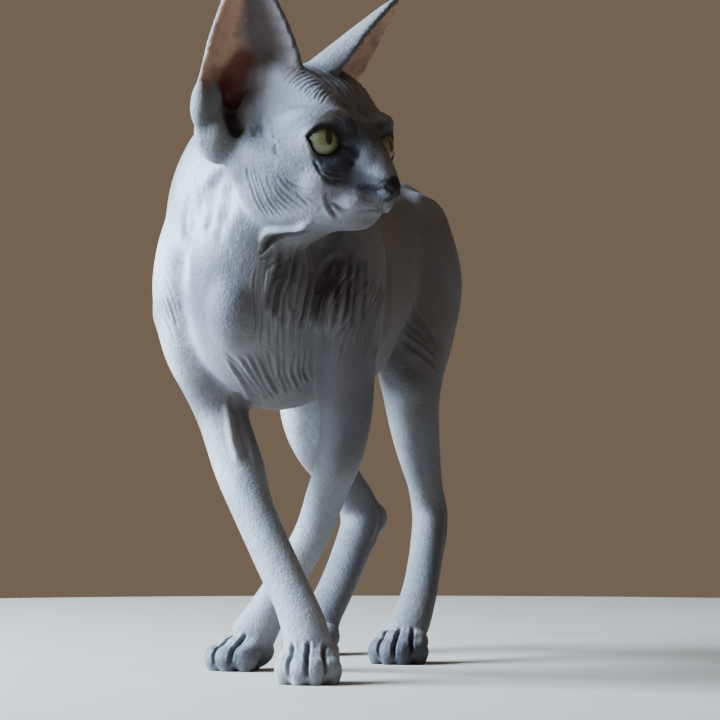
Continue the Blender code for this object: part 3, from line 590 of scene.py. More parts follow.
# Families of folds: the space that the guides are in, body or head, in millimetres; how many folds are drawn
# from the first guide to the last; width and depth of a groove; and whether the other side has them too.
# A depth below zero makes a ridge.
FOLDS = {
    "breast": ("body", 15, 1.7, 2.1, False, [
        [(31, -64, 241), (24, -63, 225), (21, -64, 211), (19, -62, 194)],
        [(38, -58, 242), (30, -57, 226), (26, -59, 211), (24, -56, 190)],
        [(43, -48, 243), (34, -51, 226), (32, -52, 211), (29, -46, 186)],
        [(47, -36, 244), (42, -33, 228), (39, -35, 214), (35, -36, 186)],
        [(51, -26, 245), (47, -32, 227), (43, -37, 212), (41, -34, 184)],
        [(55, -22, 245), (54, -30, 224), (54, -35, 206), (49, -31, 182)],
        [(61, -16, 243), (62, -18, 225), (62, -20, 208), (57, -20, 186)],
    ]),
    "breast_fine": ("body", 36, 0.7, 0.6, False, [
        [(18, -69, 232), (14, -70, 220), (13, -66, 200), (14, -60, 178)],
        [(40, -63, 238), (31, -56, 222), (28, -54, 202), (24, -42, 176)],
        [(50, -23, 242), (45, -33, 222), (40, -36, 204), (38, -28, 172)],
        [(65, 16, 222), (65, -8, 200), (58, -14, 170)],
    ]),
    "neck": ("body", 9, 3.0, 1.3, False, [
        [(-34, -47, 276), (-33, -47, 261), (-34, -42, 247), (-27, -56, 232)],
        [(-20, -55, 279), (-20, -55, 265), (-16, -64, 250), (-19, -65, 236)],
        [(-4, -76, 286), (-11, -58, 274), (-14, -61, 259), (-12, -68, 245), (-10, -71, 232)],
        [(10, -88, 287), (-2, -61, 273), (-2, -67, 258), (-1, -71, 244), (0, -73, 232)],
    ]),
    "jaw_crease": ("body", 1, 1.7, 2.8, False, [
        [(18, -68, 235), (22, -67, 241), (31, -68, 244), (39, -68, 245), (49, -69, 246)],
    ]),
    "jaw_ridge": ("body", 1, 1.9, -3.2, False, [
        [(16, -70, 240), (22, -69, 246), (31, -72, 249), (43, -81, 250), (54, -87, 250)],
    ]),
    "below_jaw": ("body", 6, 1.0, 0.8, False, [
        [(16, -70, 234), (22, -66, 239)],
        [(17, -70, 230), (25, -64, 236)],
        [(19, -68, 225), (27, -62, 235)],
        [(20, -67, 222), (28, -61, 231)],
        [(22, -65, 218), (29, -59, 228)],
    ]),
    "cheek": ("head", 12, 0.9, 0.5, True, [
        [(-37.6, 2.7, -5.2), (-36, 4, -15), (-34.2, 2.1, -23), (-26.8, 1.7, -33.2), (-18.3, 0.4, -39.3)],
        [(-37.3, -1.9, -6.7), (-35.9, -2.5, -14.8), (-32.9, -5.1, -24.3), (-26.9, -8, -32),
         (-21.2, -14.6, -37.2)],
        [(-35.1, -7.6, -14.6), (-32.2, -10.2, -22.5), (-26.3, -14.3, -29.3), (-21.8, -21.9, -32.8)],
        [(-34.6, -13.9, -10.3), (-31.5, -16.1, -17.3), (-26.9, -21.3, -22.5), (-22, -26.2, -27.7),
         (-17.9, -31.7, -29.7)],
        [(-30.9, -17.8, -17.2), (-27.3, -23.9, -20.8), (-24.5, -33, -21.9)],
    ]),
    "brow": ("head", 13, 0.6, 0.38, True, [
        [(-17, -7, 38), (-22, -5, 33), (-25, -1, 28)],
        [(-15, -14, 34), (-20, -11, 32), (-24, -7, 27)],
        [(-13, -19, 31), (-18.5, -17, 28), (-22.5, -14, 23)],
        [(-11, -23, 28), (-16.3, -21.6, 27), (-21, -21, 21)],
        [(-9, -27, 25), (-14.4, -24.7, 25), (-22, -27, 19)],
    ]),
    "forehead": ("head", 5, 0.9, 0.5, True, [
        [(-2, 4, 40), (-2, -14, 33), (-1.5, -28, 20)],
        [(-13, 2, 38), (-11, -12, 31), (-7, -26, 19)],
    ]),
    "temple": ("head", 6, 1.1, 0.45, True, [
        [(-31.5, 9.1, 9.9), (-33.9, 4.4, 1.6)],
        [(-29.2, 6, 8.6), (-33, 0, 1.8)],
        [(-26.9, 1.8, 15.4), (-33.4, -6.8, 10.1)],
        [(-33, -8.8, -0.5), (-34, -14, -6.1)],
    ]),
    "under_eye": ("head", 4, 0.7, 0.45, True, [
        [(-27.3, -29.4, -5.2), (-25.9, -33.1, -9.8), (-22.7, -37, -10.7), (-16.9, -39, -8.2)],
        [(-26.4, -34.1, -13.9), (-21.2, -38.4, -17.5), (-15.1, -41.7, -18.5)],
    ]),
    "pad_crease": ("head", 1, 1.1, 1.3, True, [
        [(-21.5, -36.8, -20.8), (-19.7, -34.2, -24.8), (-15.8, -34.3, -30.3), (-12.2, -36.8, -33.2)],
    ]),
    "breast_foot": ("body", 13, 1.1, 1.2, False, [
        [(-12, -58, 186), (-4, -50, 174), (-1, -38, 163), (-5, -8, 155)],
        [(-6, -59, 186), (1, -50, 172), (4, -35, 162), (2, -2, 153)],
        [(8, -56, 186), (12, -41, 167), (11, -25, 161), (9, -9, 156)],
        [(16, -54, 186), (16, -42, 171), (16, -29, 165), (13, -13, 159)],
        [(26, -44, 186), (23, -33, 172), (21, -19, 165), (18, -2, 158)],
        [(34, -32, 184), (28, -21, 172), (27, -3, 164)],
    ]),
    "shoulder_fine": ("body", 16, 0.8, 0.4, True, [
        [(-50, -30, 232), (-42, -42, 212), (-36, -46, 190)],
        [(-64, 0, 236), (-62, -14, 208), (-52, -20, 182)],
    ]),
    "flank": ("body", 7, 2.2, 0.9, True, [
        [(62, -15, 186), (56, 40, 196), (50, 75, 216)],
        [(60, 0, 176), (50, 50, 180), (46, 104, 200)],
    ]),
    "nape": ("body", 8, 2.2, 1.2, False, [
        [(-45, 5, 270), (-28, 25, 290), (0, 32, 296), (28, 20, 290), (44, -2, 272)],
        [(-46, 30, 250), (-25, 48, 268), (0, 55, 272), (25, 48, 268), (46, 26, 250)],
    ]),
    "behind_shoulder": ("body", 7, 2.0, 0.8, True, [
        [(-52, 45, 250), (-54, 50, 220), (-45, 52, 190)],
        [(-50, 85, 245), (-52, 90, 215), (-45, 94, 185)],
    ]),
    "groin": ("body", 7, 1.7, 1.1, True, [
        [(-42, 168, 230), (-45, 186, 208), (-42, 200, 185)],
        [(-38, 155, 205), (-42, 178, 188), (-38, 196, 172)],
    ]),
    "rump": ("body", 6, 2.0, 0.5, True, [
        [(-22, 262, 296), (-34, 276, 272), (-36, 280, 246)],
        [(-12, 288, 292), (-22, 298, 272), (-24, 296, 250)],
    ]),
    "tail_base": ("body", 5, 1.5, 0.45, False, [
        [(-14, 296, 285), (0, 296, 297), (14, 296, 285)],
        [(-10, 316, 274), (0, 318, 286), (10, 316, 274)],
    ]),
    "fore_ridge_right": ("body", 1, 2.2, -1.6, False, [
        [(-18, -14, 159), (-19, -14, 150), (-17, -16, 139), (-14, -19, 129), (-9, -22, 117)],
    ]),
    "fore_hollow_right": ("body", 1, 2.4, 1.2, False, [
        [(-10, -25, 160), (-15, -9, 150), (-12, -12, 139), (-8, -15, 129), (-3, -19, 117)],
    ]),
}

# Along the hind legs: hollows before the heel's tendon and beside the foot bones, from the leg's stations
HIND_HOLLOWS = [(5, 0.85, 0.40), (6, 0.85, 0.35), (7, 0.85, 0.0), (8, 0.85, 0.2)]
# Between the toes, in the paw's own millimetres
TOE_GAPS = [
    [(-7.5, 2, 22), (-8.6, -7, 17), (-9.2, -14, 10), (-9.2, -16, 2)],
    [(0, 0, 23), (0, -10, 18), (0, -17, 10), (0, -19, 2)],
    [(7.5, 2, 22), (8.6, -7, 17), (9.2, -14, 10), (9.2, -16, 2)],
]

SEED = 7

# Dark parts of the face, the same on both sides, as paths in the head's millimetres: path, radius, strength
DARK_PATHS = [
    ([(0, -17, 35), (0, -24, 29), (0, -32, 18), (0, -40, 8)], 10.0, 0.48),
    ([(-5, -27, 24), (-9, -30, 20)], 5.0, 0.48),
    ([(-4, -38, 8), (-4, -43, 0), (-6, -45, -6)], 7.5, 0.68),
    ([(-10, -36, 10), (-10, -40, 0), (-14, -40, -7), (-19, -38, -9), (-25, -34, -9)], 5.0, 1.0),
    ([(-26, -31, -1), (-26.5, -32, -8), (-22, -37, -13)], 2.5, 0.85),
    ([(-21, -38, -13), (-13, -43, -14), (-9, -48, -16), (-5, -55, -18)], 6.0, 0.85),
    ([(-14, -42, -20), (-7, -50, -23), (0, -56, -23)], 3.5, 0.55),
    ([(-12, -37, 12), (-18, -35.5, 13)], 3.0, 0.85),
    ([(0, -60, -23), (0, -57, -28), (-4, -54, -29)], 3.5, 0.75),
]
# Dark from the right ear down to the forehead
EAR_TO_BROW = [(-14, -5, 40), (-8, -12, 36), (0, -20, 32)]
# Lighter parts in them, two painted highlights and the whisker pad's lighter skin: middle, radii, strength
HIGHLIGHT_AND_LIGHTER_SPOTS = [
    # painted highlight on the side of the nose's bridge
    ((-5, -55, -10), (5, 6, 5), 0.65),
    # the whisker pad's lighter skin
    ((-15, -40, -27), (7, 7, 5), 0.6),
    # painted highlight on the brow ridge
    ((-14.5, -34, 18), (6, 3.5, 3), 0.5),
]
POCKET_TOP = (-33.5, 24.5, 28.5)
# Dark red low in each ear along this path, partly the ear's own colour and partly painted shade over a bump
RED_PATH = [(-29.5, 21, 39), (-33, 26, 30), (-34, 25, 27), (-33, 22, 23)]
NOSE_PATHS = [
    ([(0, -59, -15), (0, -61, -19), (0, -57.5, -23)], 3.4),
    ([(-2, -58, -16), (-5.5, -57, -17)], 3.0),
    ([(-6, -55, -18), (-11, -47.5, -18)], 1.6),
]
# Painted shade: near black along the pit of each ear's canal
CANAL_PATH = [(-33.5, 22, 20), (-33.5, 21, 18), (-36, 19, 9), (-36, 16, 4)]
# Painted shade, greyish mauve, at the front of each ear's root: path, radius
EAR_ROOT_SHADE_PATHS = [
    ([(-24, 16, 45), (-25, 10, 34), (-26.5, 14, 25)], 6.0),
    ([(-20, 2, 40), (-21, -5, 34)], 4.0),
]
# Patches of painted shade, painted light and darker mottling on the body, in millimetres: middle, radii,
# softness, strength
PATCHES = {
    # Painted shade, brownish: under the belly, on the breast and flank of the shaded side, on the left
    # foreleg's upper part
    "warm_shade_and_glow": [
        ((0, 20, 150), (60, 90, 50), 0.8, 1.0),
        ((0, 190, 180), (50, 80, 50), 0.8, 1.0),
        ((50, -40, 225), (34, 40, 40), 0.8, 1.0),
        ((55, 100, 215), (30, 160, 70), 0.8, 0.7),
        ((48, -5, 155), (32, 50, 70), 0.6, 1.0),
    ],
    # Painted light on the lit side: neck, shoulder, right foreleg and right hind leg
    "pale_and_painted_light": [
        ((-18, -55, 266), (42, 45, 40), 0.7, 1.0),
        ((-48, -36, 236), (30, 45, 40), 0.7, 1.0),
        ((-42, -36, 184), (26, 30, 36), 0.7, 1.0),
        ((-22, -18, 128), (26, 30, 45), 0.7, 0.8),
        ((-38, 209, 143), (30, 35, 50), 0.7, 1.0),
    ],
    # Darker mottled skin, made darker still as painted shade, on the breast's front and the left foreleg's
    # upper part
    "mottled_and_painted_shade": [
        ((-16, -66, 210), (42, 36, 34), 0.7, 1.0),
        ((48, -5, 155), (32, 50, 70), 0.6, 0.8),
    ],
}
# Knobs of bone that are blended into the skin round them: middle and reach in millimetres, and how far
KNOBS = [
    ((44.5, 224, 87), 26, 0.22),
    ((-13.5, 299, 85), 26, 0.22),
    ((-30, 22, 149), 28, 0.22),
    ((42, 38, 148), 28, 0.22),
    ((-36, 26, 268), 48, 0.5),
    ((36, 26, 268), 48, 0.5),
]
# How dark each paw's toes are
TOES_DARK = {"paw_fore_right": 0.25, "paw_fore_left": 0.6, "paw_hind_left": 0.7, "paw_hind_right": 0.5}


SKIN_SURFACE = {
    "Sheen Weight": 0.03,
    "Sheen Roughness": 0.35,
    "Sheen Tint": (0.85, 0.92, 1.0, 1),
    "Specular IOR Level": 0.22,
    "Subsurface Weight": 0.08,
    "Subsurface Radius": (1.0, 0.45, 0.30),
    "Subsurface Scale": 0.002,
}
EYE_SURFACE = {"Roughness": 0.35, "Coat Weight": 1.0, "Coat Roughness": 0.03, "Coat IOR": 1.376}
FLOOR_COLOUR = (0.42, 0.375, 0.325)
SKY_COLOUR = (0.180, 0.131, 0.091, 1)
GROOVE_LIMIT = 4.5 * MM
SWELL_LIMIT = 3.2 * MM
# The painted shade in a narrow groove grows with the groove's depth up to this limit
CREASE_SHADE_LIMIT = 2.4  # of a narrow groove's depth, in millimetres
FACE_MIDDLE = (0, -34, -6)  # of the part of the head with the finer mesh, in the head's millimetres
FACE_RADII = (35, 32, 30)
MUZZLE_MIDDLE = (0, -36, -6)  # of the part with the finest mesh
MUZZLE_RADII = (31, 28, 26)


def ramp(x, low, high):
    """0 below low, 1 above high, smooth between."""
    t = np.clip((x - low) / (high - low), 0, 1)
    return t * t * (3 - 2 * t)


def blob(points, centre, radii, soft=0.5):
    """1 inside the ellipsoid, 0 outside it, soft being the part of its radius over which it fades."""
    away = np.linalg.norm((points - np.array(centre, float)) / np.array(radii, float), axis=1)
    return 1 - ramp(away, 1 - soft, 1)


def pair_blob(points, centre, radii, soft=0.5):
    """The blob on both sides of the head."""
    both = [(side * centre[0], centre[1], centre[2]) for side in SIDES.values()]
    return np.maximum(blob(points, both[0], radii, soft), blob(points, both[1], radii, soft))


def split_faces(obj, wanted):
    """Splits in four the faces whose corners are all wanted."""
    forms = bmesh.new()
    forms.from_mesh(obj.data)
    edges = [e for e in forms.edges if wanted[e.verts[0].index] and wanted[e.verts[1].index]]
    bmesh.ops.subdivide_edges(forms, edges=edges, cuts=1, use_grid_fill=True)
    forms.to_mesh(obj.data)
    forms.free()


def even_steps(path, count):
    """The path as count points at even distances."""
    rows = curve_through(path, 8)
    along = np.r_[0, np.cumsum(np.linalg.norm(np.diff(rows, axis=0), axis=1))]
    wanted = np.linspace(0, along[-1], count)
    return np.stack([np.interp(wanted, along, rows[:, k]) for k in range(3)], 1)


def fold_lines(guides, count, rng, tree):
    """Lines between the guides, wandering a little, laid on the skin. Points are in metres."""
    rows = np.array([even_steps(guide, 28) for guide in guides])
    t = np.linspace(0, 1, rows.shape[1])
    last = len(guides) - 1
    lines = []
    for k in range(count):
        spacing = last / max(count - 1, 1)
        across = k * spacing + rng.uniform(-0.18, 0.18) * spacing
        sway = 0.15 * spacing * np.sin(2 * math.pi * (rng.uniform(0.5, 1.6) * t + rng.uniform()))
        place = np.clip(across + sway, 0, last)
        low = np.minimum(place.astype(int), max(last - 1, 0))
        part = (place - low)[:, None]
        step = np.arange(len(t))
        line = rows[low, step] * (1 - part) + rows[np.minimum(low + 1, last), step] * part
        if count > 2:
            line = line[(t >= rng.uniform(0, 0.10)) & (t <= rng.uniform(0.80, 1))]
        lines.append(np.array([tree.find_nearest(Vector(p))[0] for p in line]))
    return lines


def all_folds(obj):
    """Every fold as (line, width, depth), in metres."""
    tree = BVHTree.FromObject(obj, bpy.context.evaluated_depsgraph_get())
    to_body = {"body": Matrix.Diagonal((MM, MM, MM, 1)), "head": head_frame()}
    rng = np.random.default_rng(SEED)
    folds = []
    for space, count, width, depth, both, guides in FOLDS.values():
        scale = MM * (HEAD_SIZE if space == "head" else 1)
        for side in (1, -1) if both else (1,):
            placed = [[to_body[space] @ Vector((side * x, y, z)) for x, y, z in guide] for guide in guides]
            for line in fold_lines(placed, count, rng, tree):
                folds.append((line, width * scale, depth * scale * rng.uniform(0.7, 1.1)))
    for name in PAWS:
        for path in TOE_GAPS:
            placed = [paw_frame(name) @ Vector(p) for p in path]
            folds += [(line, 1.1 * MM, 1.9 * MM) for line in fold_lines([placed], 1, rng, tree)]
    for leg in (HIND_LEFT, HIND_RIGHT):
        for way in (-1, 1):
            placed = []
            for station, out, behind in HIND_HOLLOWS:
                x, y, z, wide, thick = leg[station]
                placed.append(Vector((x + way * out * wide, y + behind * thick, z)))
            folds += [(line, 2.8 * MM, 1.0 * MM) for line in fold_lines([placed], 1, rng, tree)]
    return folds


def beside_line(points, line):
    """Each point's distance from the line and how far along it that is, 0 to 1."""
    nearest = np.full(len(points), np.inf)
    along = np.zeros(len(points))
    for k, (a, b) in enumerate(zip(line, line[1:])):
        reach = b - a
        t = np.clip(((points - a) @ reach) / max(reach @ reach, 1e-12), 0, 1)
        away = np.linalg.norm(points - a - t[:, None] * reach, axis=1)
        closer = away < nearest
        nearest[closer] = away[closer]
        along[closer] = (k + t[closer]) / (len(line) - 1)
    return nearest, along


def press_fold(points, line, width, depth, groove, swell, crease_shade):
    """Adds one fold: a groove that fades at its ends, with the skin swelling beside it, or a ridge. Each groove
    also gets painted shade, more in narrow grooves than in wide ones."""
    reach = 4 * width
    index = np.flatnonzero(((points > line.min(0) - reach) & (points < line.max(0) + reach)).all(1))
    away, along = beside_line(points[index], line)
    fade = ramp(along, 0, 0.2) * (1 - ramp(along, 0.8, 1))
    if depth > 0:
        pressed = depth * fade * bell(away, width)
        groove[index] += pressed
        crease_shade[index] += pressed * min(1, 1.6 * MM / width) ** 2
        swell[index] += 0.35 * depth * fade * bell(away - 2 * width, width)
    else:
        swell[index] -= depth * fade * bell(away, width)


def near_folds(points, folds, reach):
    near = np.zeros(len(points), bool)
    for line, *_ in folds:
        index = np.flatnonzero(((points > line.min(0) - reach) & (points < line.max(0) + reach)).all(1))
        near[index] |= beside_line(points[index], line[::2])[0] < reach
    return near


def fold_skin(obj, folds):
    """Presses every fold into the skin. Returns each vertex's painted shade from narrow grooves, in millimetres
    of depth.
    """
    mesh = obj.data
    points = vertex_array(mesh)
    normals = vertex_array(mesh, "normal")
    groove, swell, crease_shade = (np.zeros(len(points)) for _ in range(3))
    for line, width, depth in folds:
        press_fold(points, line, width, depth, groove, swell, crease_shade)
    groove = np.minimum(groove, GROOVE_LIMIT)
    swell = np.minimum(swell, SWELL_LIMIT)
    place_vertices(mesh, points + normals * (swell - groove)[:, None])
    return np.minimum(crease_shade / MM, CREASE_SHADE_LIMIT)


def lid_inside(across, up):
    """How far inside the opening between the lids a point is, in the head's millimetres."""
    tilt = math.radians(LID_TILT)
    u = across * math.cos(tilt) + up * math.sin(tilt)
    v = up * math.cos(tilt) - across * math.sin(tilt)
    arch = 1 - np.clip(np.abs(u) / LID_HALF_WIDTH, 0, 1.6) ** 2.2
    return np.minimum(LID_RISE * arch - v, v + LID_DROP * arch)


def eye_points(points, side):
    """The points in the eye's own frame, with across running away from the nose."""
    return moved(points, eye_frame(side).inverted()) * (side, 1, 1)


def open_lids(obj):
    """Sinks the skin behind each eye's surface between the lids, and gives the lids a rim and a crease."""
    mesh = obj.data
    points = vertex_array(mesh)
    rim = np.zeros(len(points))
    for side in SIDES.values():
        local = eye_points(points, side)
        front = (local[:, 1] < 2) & (np.linalg.norm(local, axis=1) < 17)
        index = np.flatnonzero(front)
        p = local[index]
        radius = np.linalg.norm(p, axis=1)
        inside = lid_inside(p[:, 0], p[:, 2])
        to_rim = ramp(inside, -4.0, -0.4)
        lidded = radius * (1 - to_rim) + (EYE_RADIUS + 1.0) * to_rim
        upper = ramp(p[:, 2], -3, 2)
        crease = (0.4 + 0.6 * upper) * (1 - ramp(p[:, 0], 1, 7)) * bell(inside + 4.0, 0.7)
        bulge = 0.4 * bell(inside + 2.1, 1.1)
        sunk = ramp(inside, -0.3, LID_STEP)
        target = (lidded - crease + bulge) * (1 - sunk) + (EYE_RADIUS - 1.6) * sunk
        points[index] = moved(p / radius[:, None] * target[:, None] * (side, 1, 1), eye_frame(side))
        thick = 1.2 + 1.9 * ramp(p[:, 2], -1, 6) + 1.1 * ramp(-p[:, 0], 1, 8)
        rim[index] = np.maximum(rim[index], ramp(inside, -thick, -0.4 * thick))
    place_vertices(mesh, points)
    return rim


def ear_sheet(name, depth, across=40, rows=40):
    """Points of one side of the ear's sheet in the body frame, as a tree to search, and each one's u and v."""
    tree = KDTree((across + 1) * (rows + 1))
    places = []
    for j in range(rows + 1):
        for i in range(across + 1):
            u, v = -1 + 2 * i / across, 0.99 * j / rows
            tree.insert(head_frame() @ Vector(ear_point(name, u, v, depth * (1 - v / 3))), len(places))
            places.append((u, v))
    tree.balance()
    return tree, places


def map_ears(points):
    """For every vertex: how surely it lines an ear's cup, and its u and v there."""
    lining, across, height = np.zeros(len(points)), np.zeros(len(points)), np.zeros(len(points))
    for name in EARS:
        hollow, places = ear_sheet(name, 0.0)
        back, _ = ear_sheet(name, 4.2)
        root, tip = (np.array(head_frame() @ Vector(p)) for p in EARS[name][:2])
        close = np.linalg.norm(points - (root + tip) / 2, axis=1) < 60 * HEAD_SIZE * MM
        for k in np.flatnonzero(close):
            _, at, to_hollow = hollow.find(points[k])
            _, _, to_back = back.find(points[k])
            if to_hollow > 6 * MM:
                continue
            sure = float(ramp((to_back - to_hollow) / MM, -0.6, 1.4) * (1 - ramp(to_hollow / MM, 2.5, 6)))
            if sure > lining[k]:
                lining[k] = sure
                across[k], height[k] = places[at]
    margin = ramp(across, 0.72, 0.88) * (1 - ramp(height, 0.25, 0.40))
    return lining * (1 - margin), across, height


def shape_ears(obj, lining, across, height):
    """Ridges of gristle inside each cup, and the pit that leads to the ear's canal."""
    mesh = obj.data
    points = vertex_array(mesh)
    normals = vertex_array(mesh, "normal")
    low = 1 - ramp(height, 0.28, 0.62)
    rise = np.zeros(len(points))
    for start, lean, tall in ((-0.15, 0.5, 0.7), (0.25, 0.35, 0.5), (-0.55, 0.2, 0.6)):
        rise += tall * bell(across - start - lean * height, 0.10) * low
    pit = 4.0 * bell(across - 0.12, 0.28) * bell(height - 0.06, 0.10)
    middle = ramp(height, 0.05, 0.2) * (1 - ramp(height, 0.5, 0.8))
    waves = 0.25 * np.sin(height * 60 + 2 * np.sin(across * 5)) * middle
    offset = lining * (rise - pit + waves) * MM
    place_vertices(mesh, points + normals * offset[:, None])


def even_rims(obj):
    """Takes the small steps out of the ears' thin sheets, and rounds off each pocket's top."""
    head = head_points(obj.data)
    for name, side in (("ear_right", -1), ("ear_left", 1)):
        top = ear_point(name, 1.0, 0.2, 2.0) + np.array((side * -9.5, 1.0, 16.0))
        smooth(obj, 40, 0.5 * blob(head, top, (9, 9, 9), 0.6)[:, None])
    smooth(obj, 120, 0.5 * blob(head, POCKET_TOP, (10, 10, 10), 0.6)[:, None])
    share = in_ears(obj.data)
    for _ in range(10):
        smooth(obj, 1, 0.5 * share)
        smooth(obj, 1, -0.52 * share)


def store(mesh, name, values):
    layer = mesh.attributes.new(name, "FLOAT", "POINT")
    layer.data.foreach_set("value", np.clip(values, 0, 1).astype(np.float32))


def blend_knobs(obj):
    points = vertex_array(obj.data) / MM
    shares = [far * blob(points, middle, (reach,) * 3) for middle, reach, far in KNOBS]
    share = np.maximum.reduce(shares)[:, None]
    fill_creases(obj, 110, share)
    smooth(obj, 90, share)


def near_path(head, path, radius, soft=3.0):
    """1 within the radius of the path, on either side of the head, fading to 0 beyond it."""
    mirrored = head * (-1, 1, 1)
    away = np.minimum(path_distance(head, path), path_distance(mirrored, path))
    return 1 - ramp(away, radius - soft / 2, radius + soft / 2)


def toes_dark(points):
    """How dark each vertex is by its nearest paw and its height above the floor."""
    middles = np.array([PAWS[name][:2] for name in PAWS])
    nearest = np.argmin(np.linalg.norm(points[:, None, :2] - middles, axis=2), axis=1)
    return np.array([TOES_DARK[name] for name in PAWS])[nearest] * (1 - ramp(points[:, 2], 0.011, 0.022))


def face_dark(head):
    """The dark mask of the face, at points in the head's millimetres."""
    dark = np.zeros(len(head))
    for path, radius, strength in DARK_PATHS:
        dark = np.maximum(dark, strength * near_path(head, path, radius, 6.5))
    dark = np.maximum(dark, 0.40 * (1 - ramp(path_distance(head, EAR_TO_BROW), 4.0, 9.5)))
    # Painted highlights on the nose's bridge and brow ridge, and the whisker pad's lighter skin, lighten the
    # dark mask
    for middle, radii, strength in HIGHLIGHT_AND_LIGHTER_SPOTS:
        dark *= 1 - strength * pair_blob(head, middle, radii, 0.8)
    return dark


def patches(points, name):
    """How much of the patches of that name each point has."""
    return np.maximum.reduce([
        strength * blob(points / MM, middle, radii, soft) for middle, radii, soft, strength in PATCHES[name]
    ])


def mark_body(mesh, points, head):
    """Where the body has brownish painted shade, painted light, and darker mottling that is partly painted
    shade.
    """
    low = 1 - ramp(points[:, 2], 0.110, 0.150)
    fore = low * (1 - ramp(points[:, 1], 0.080, 0.120))
    hind = low * ramp(points[:, 1], 0.120, 0.150)
    # The chin's underside gets painted shade, brownish and darker
    chin = blob(head, (4, -44, -34), (17, 22, 9), 0.8)
    cheek = pair_blob(head, (30, -6, -8), (20, 28, 26), 0.6)
    # painted shade, brownish, on the shaded side, under the belly and under the chin
    store(mesh, "warm_shade_and_glow", np.maximum(patches(points, "warm_shade_and_glow"), chin))
    # painted light on the lit side, and somewhat lighter lower forelegs
    store(mesh, "pale_and_painted_light", np.maximum(patches(points, "pale_and_painted_light"), 0.35 * fore))
    # darker mottling of the cheeks and lower hind legs, and painted shade on the breast's front, the left
    # foreleg and the chin
    spots = [patches(points, "mottled_and_painted_shade"), 0.75 * cheek, 0.6 * chin, 0.35 * hind]
    store(mesh, "mottled_and_painted_shade", np.maximum.reduce(spots))


def mark_skin(mesh, rest_points, depth, rim, ears):
    """Marks at each vertex: dark skin, painted shade and painted light, the inside of an ear, the nose and the
    lids.
    """
    back = np.array(head_frame().inverted())
    head = moved(rest_points, back)
    lining, across, height = ears
    close = np.linalg.norm(head - (0, -5, 10), axis=1) < 75
    near = head[close]
    dark, nose, canal, mauve, red = (np.zeros(len(head)) for _ in range(5))
    dark[close] = face_dark(near) * (1 - lining[close])
    nose[close] = np.maximum.reduce([near_path(near, path, radius, 1.2) for path, radius in NOSE_PATHS])
    mauve[close] = np.maximum.reduce([near_path(near, path, radius, 6.0) for path, radius in EAR_ROOT_SHADE_PATHS])
    canal[close] = near_path(near, CANAL_PATH, 4.2, 3.0)
    red[close] = near_path(near, RED_PATH, 6.0, 5.0)
    backward = vertex_array(mesh, "normal") @ back[:3, :3].T / np.linalg.norm(back[:3, 1])
    front = 1 - ramp(backward[:, 1], 0.0, 0.3)
    store(mesh, "dark", np.maximum(dark, toes_dark(rest_points)))
    store(mesh, "nose", nose)
    # painted shade, near black, in each ear's canal pit
    store(mesh, "canal", canal * front)
    # dark red low in each ear, partly the ear's own colour and partly painted shade
    store(mesh, "red_ear", red * front)
    # painted shade, greyish mauve, at the front of each ear's root
    store(mesh, "mauve", mauve * front)
    store(mesh, "inner_ear", lining)
    store(mesh, "ear_across", across * 0.5 + 0.5)
    store(mesh, "ear_height", height)
    # painted shade in the narrow grooves
    store(mesh, "painted_crease_shade", depth / CREASE_SHADE_LIMIT)
    store(mesh, "rim", rim)
    mark_body(mesh, rest_points, head)


def set_inputs(node, values):
    """Sets each input to its value, or links it where the value is another node's output."""
    for key, value in values.items():
        if isinstance(value, bpy.types.NodeSocket):
            node.id_data.links.new(value, node.inputs[key])
        else:
            node.inputs[key].default_value = value


def add_node(tree, kind, inputs=None, **settings):
    made = tree.nodes.new(kind)
    for key, value in settings.items():
        setattr(made, key, value)
    set_inputs(made, inputs or {})
    return made


def new_material(name):
    """A material with its node tree emptied but for the shader and the output."""
    material = bpy.data.materials.new(name)
    material.use_nodes = True
    tree = material.node_tree
    return material, tree, tree.nodes["Principled BSDF"]


def value_of(tree, name):
    return add_node(tree, "ShaderNodeAttribute", attribute_name=name).outputs["Fac"]


def noise(tree, vector, scale, detail=3.0, rough=0.5):
    inputs = {"Vector": vector, "Scale": scale, "Detail": detail, "Roughness": rough}
    return add_node(tree, "ShaderNodeTexNoise", inputs).outputs["Fac"]


def spread(tree, value, low, high):
    """The value's part from low to high, as 0 to 1."""
    inputs = {"Value": value, "From Min": low, "From Max": high}
    return add_node(tree, "ShaderNodeMapRange", inputs, interpolation_type="SMOOTHSTEP").outputs["Result"]


def mix(tree, factor, first, second):
    made = add_node(tree, "ShaderNodeMix", data_type="RGBA")
    first, second = ((*c, 1) if isinstance(c, tuple) else c for c in (first, second))
    set_inputs(made, {0: factor, 6: first, 7: second})
    return made.outputs[2]


def maths(tree, operation, first, second):
    return add_node(tree, "ShaderNodeMath", {0: first, 1: second}, operation=operation).outputs[0]


def times(tree, value, factor):
    return maths(tree, "MULTIPLY", value, factor)


def lay(tree, base, name, share, colour):
    """The base with the colour laid over it, by the value stored under the name."""
    return mix(tree, times(tree, value_of(tree, name), share), base, colour)


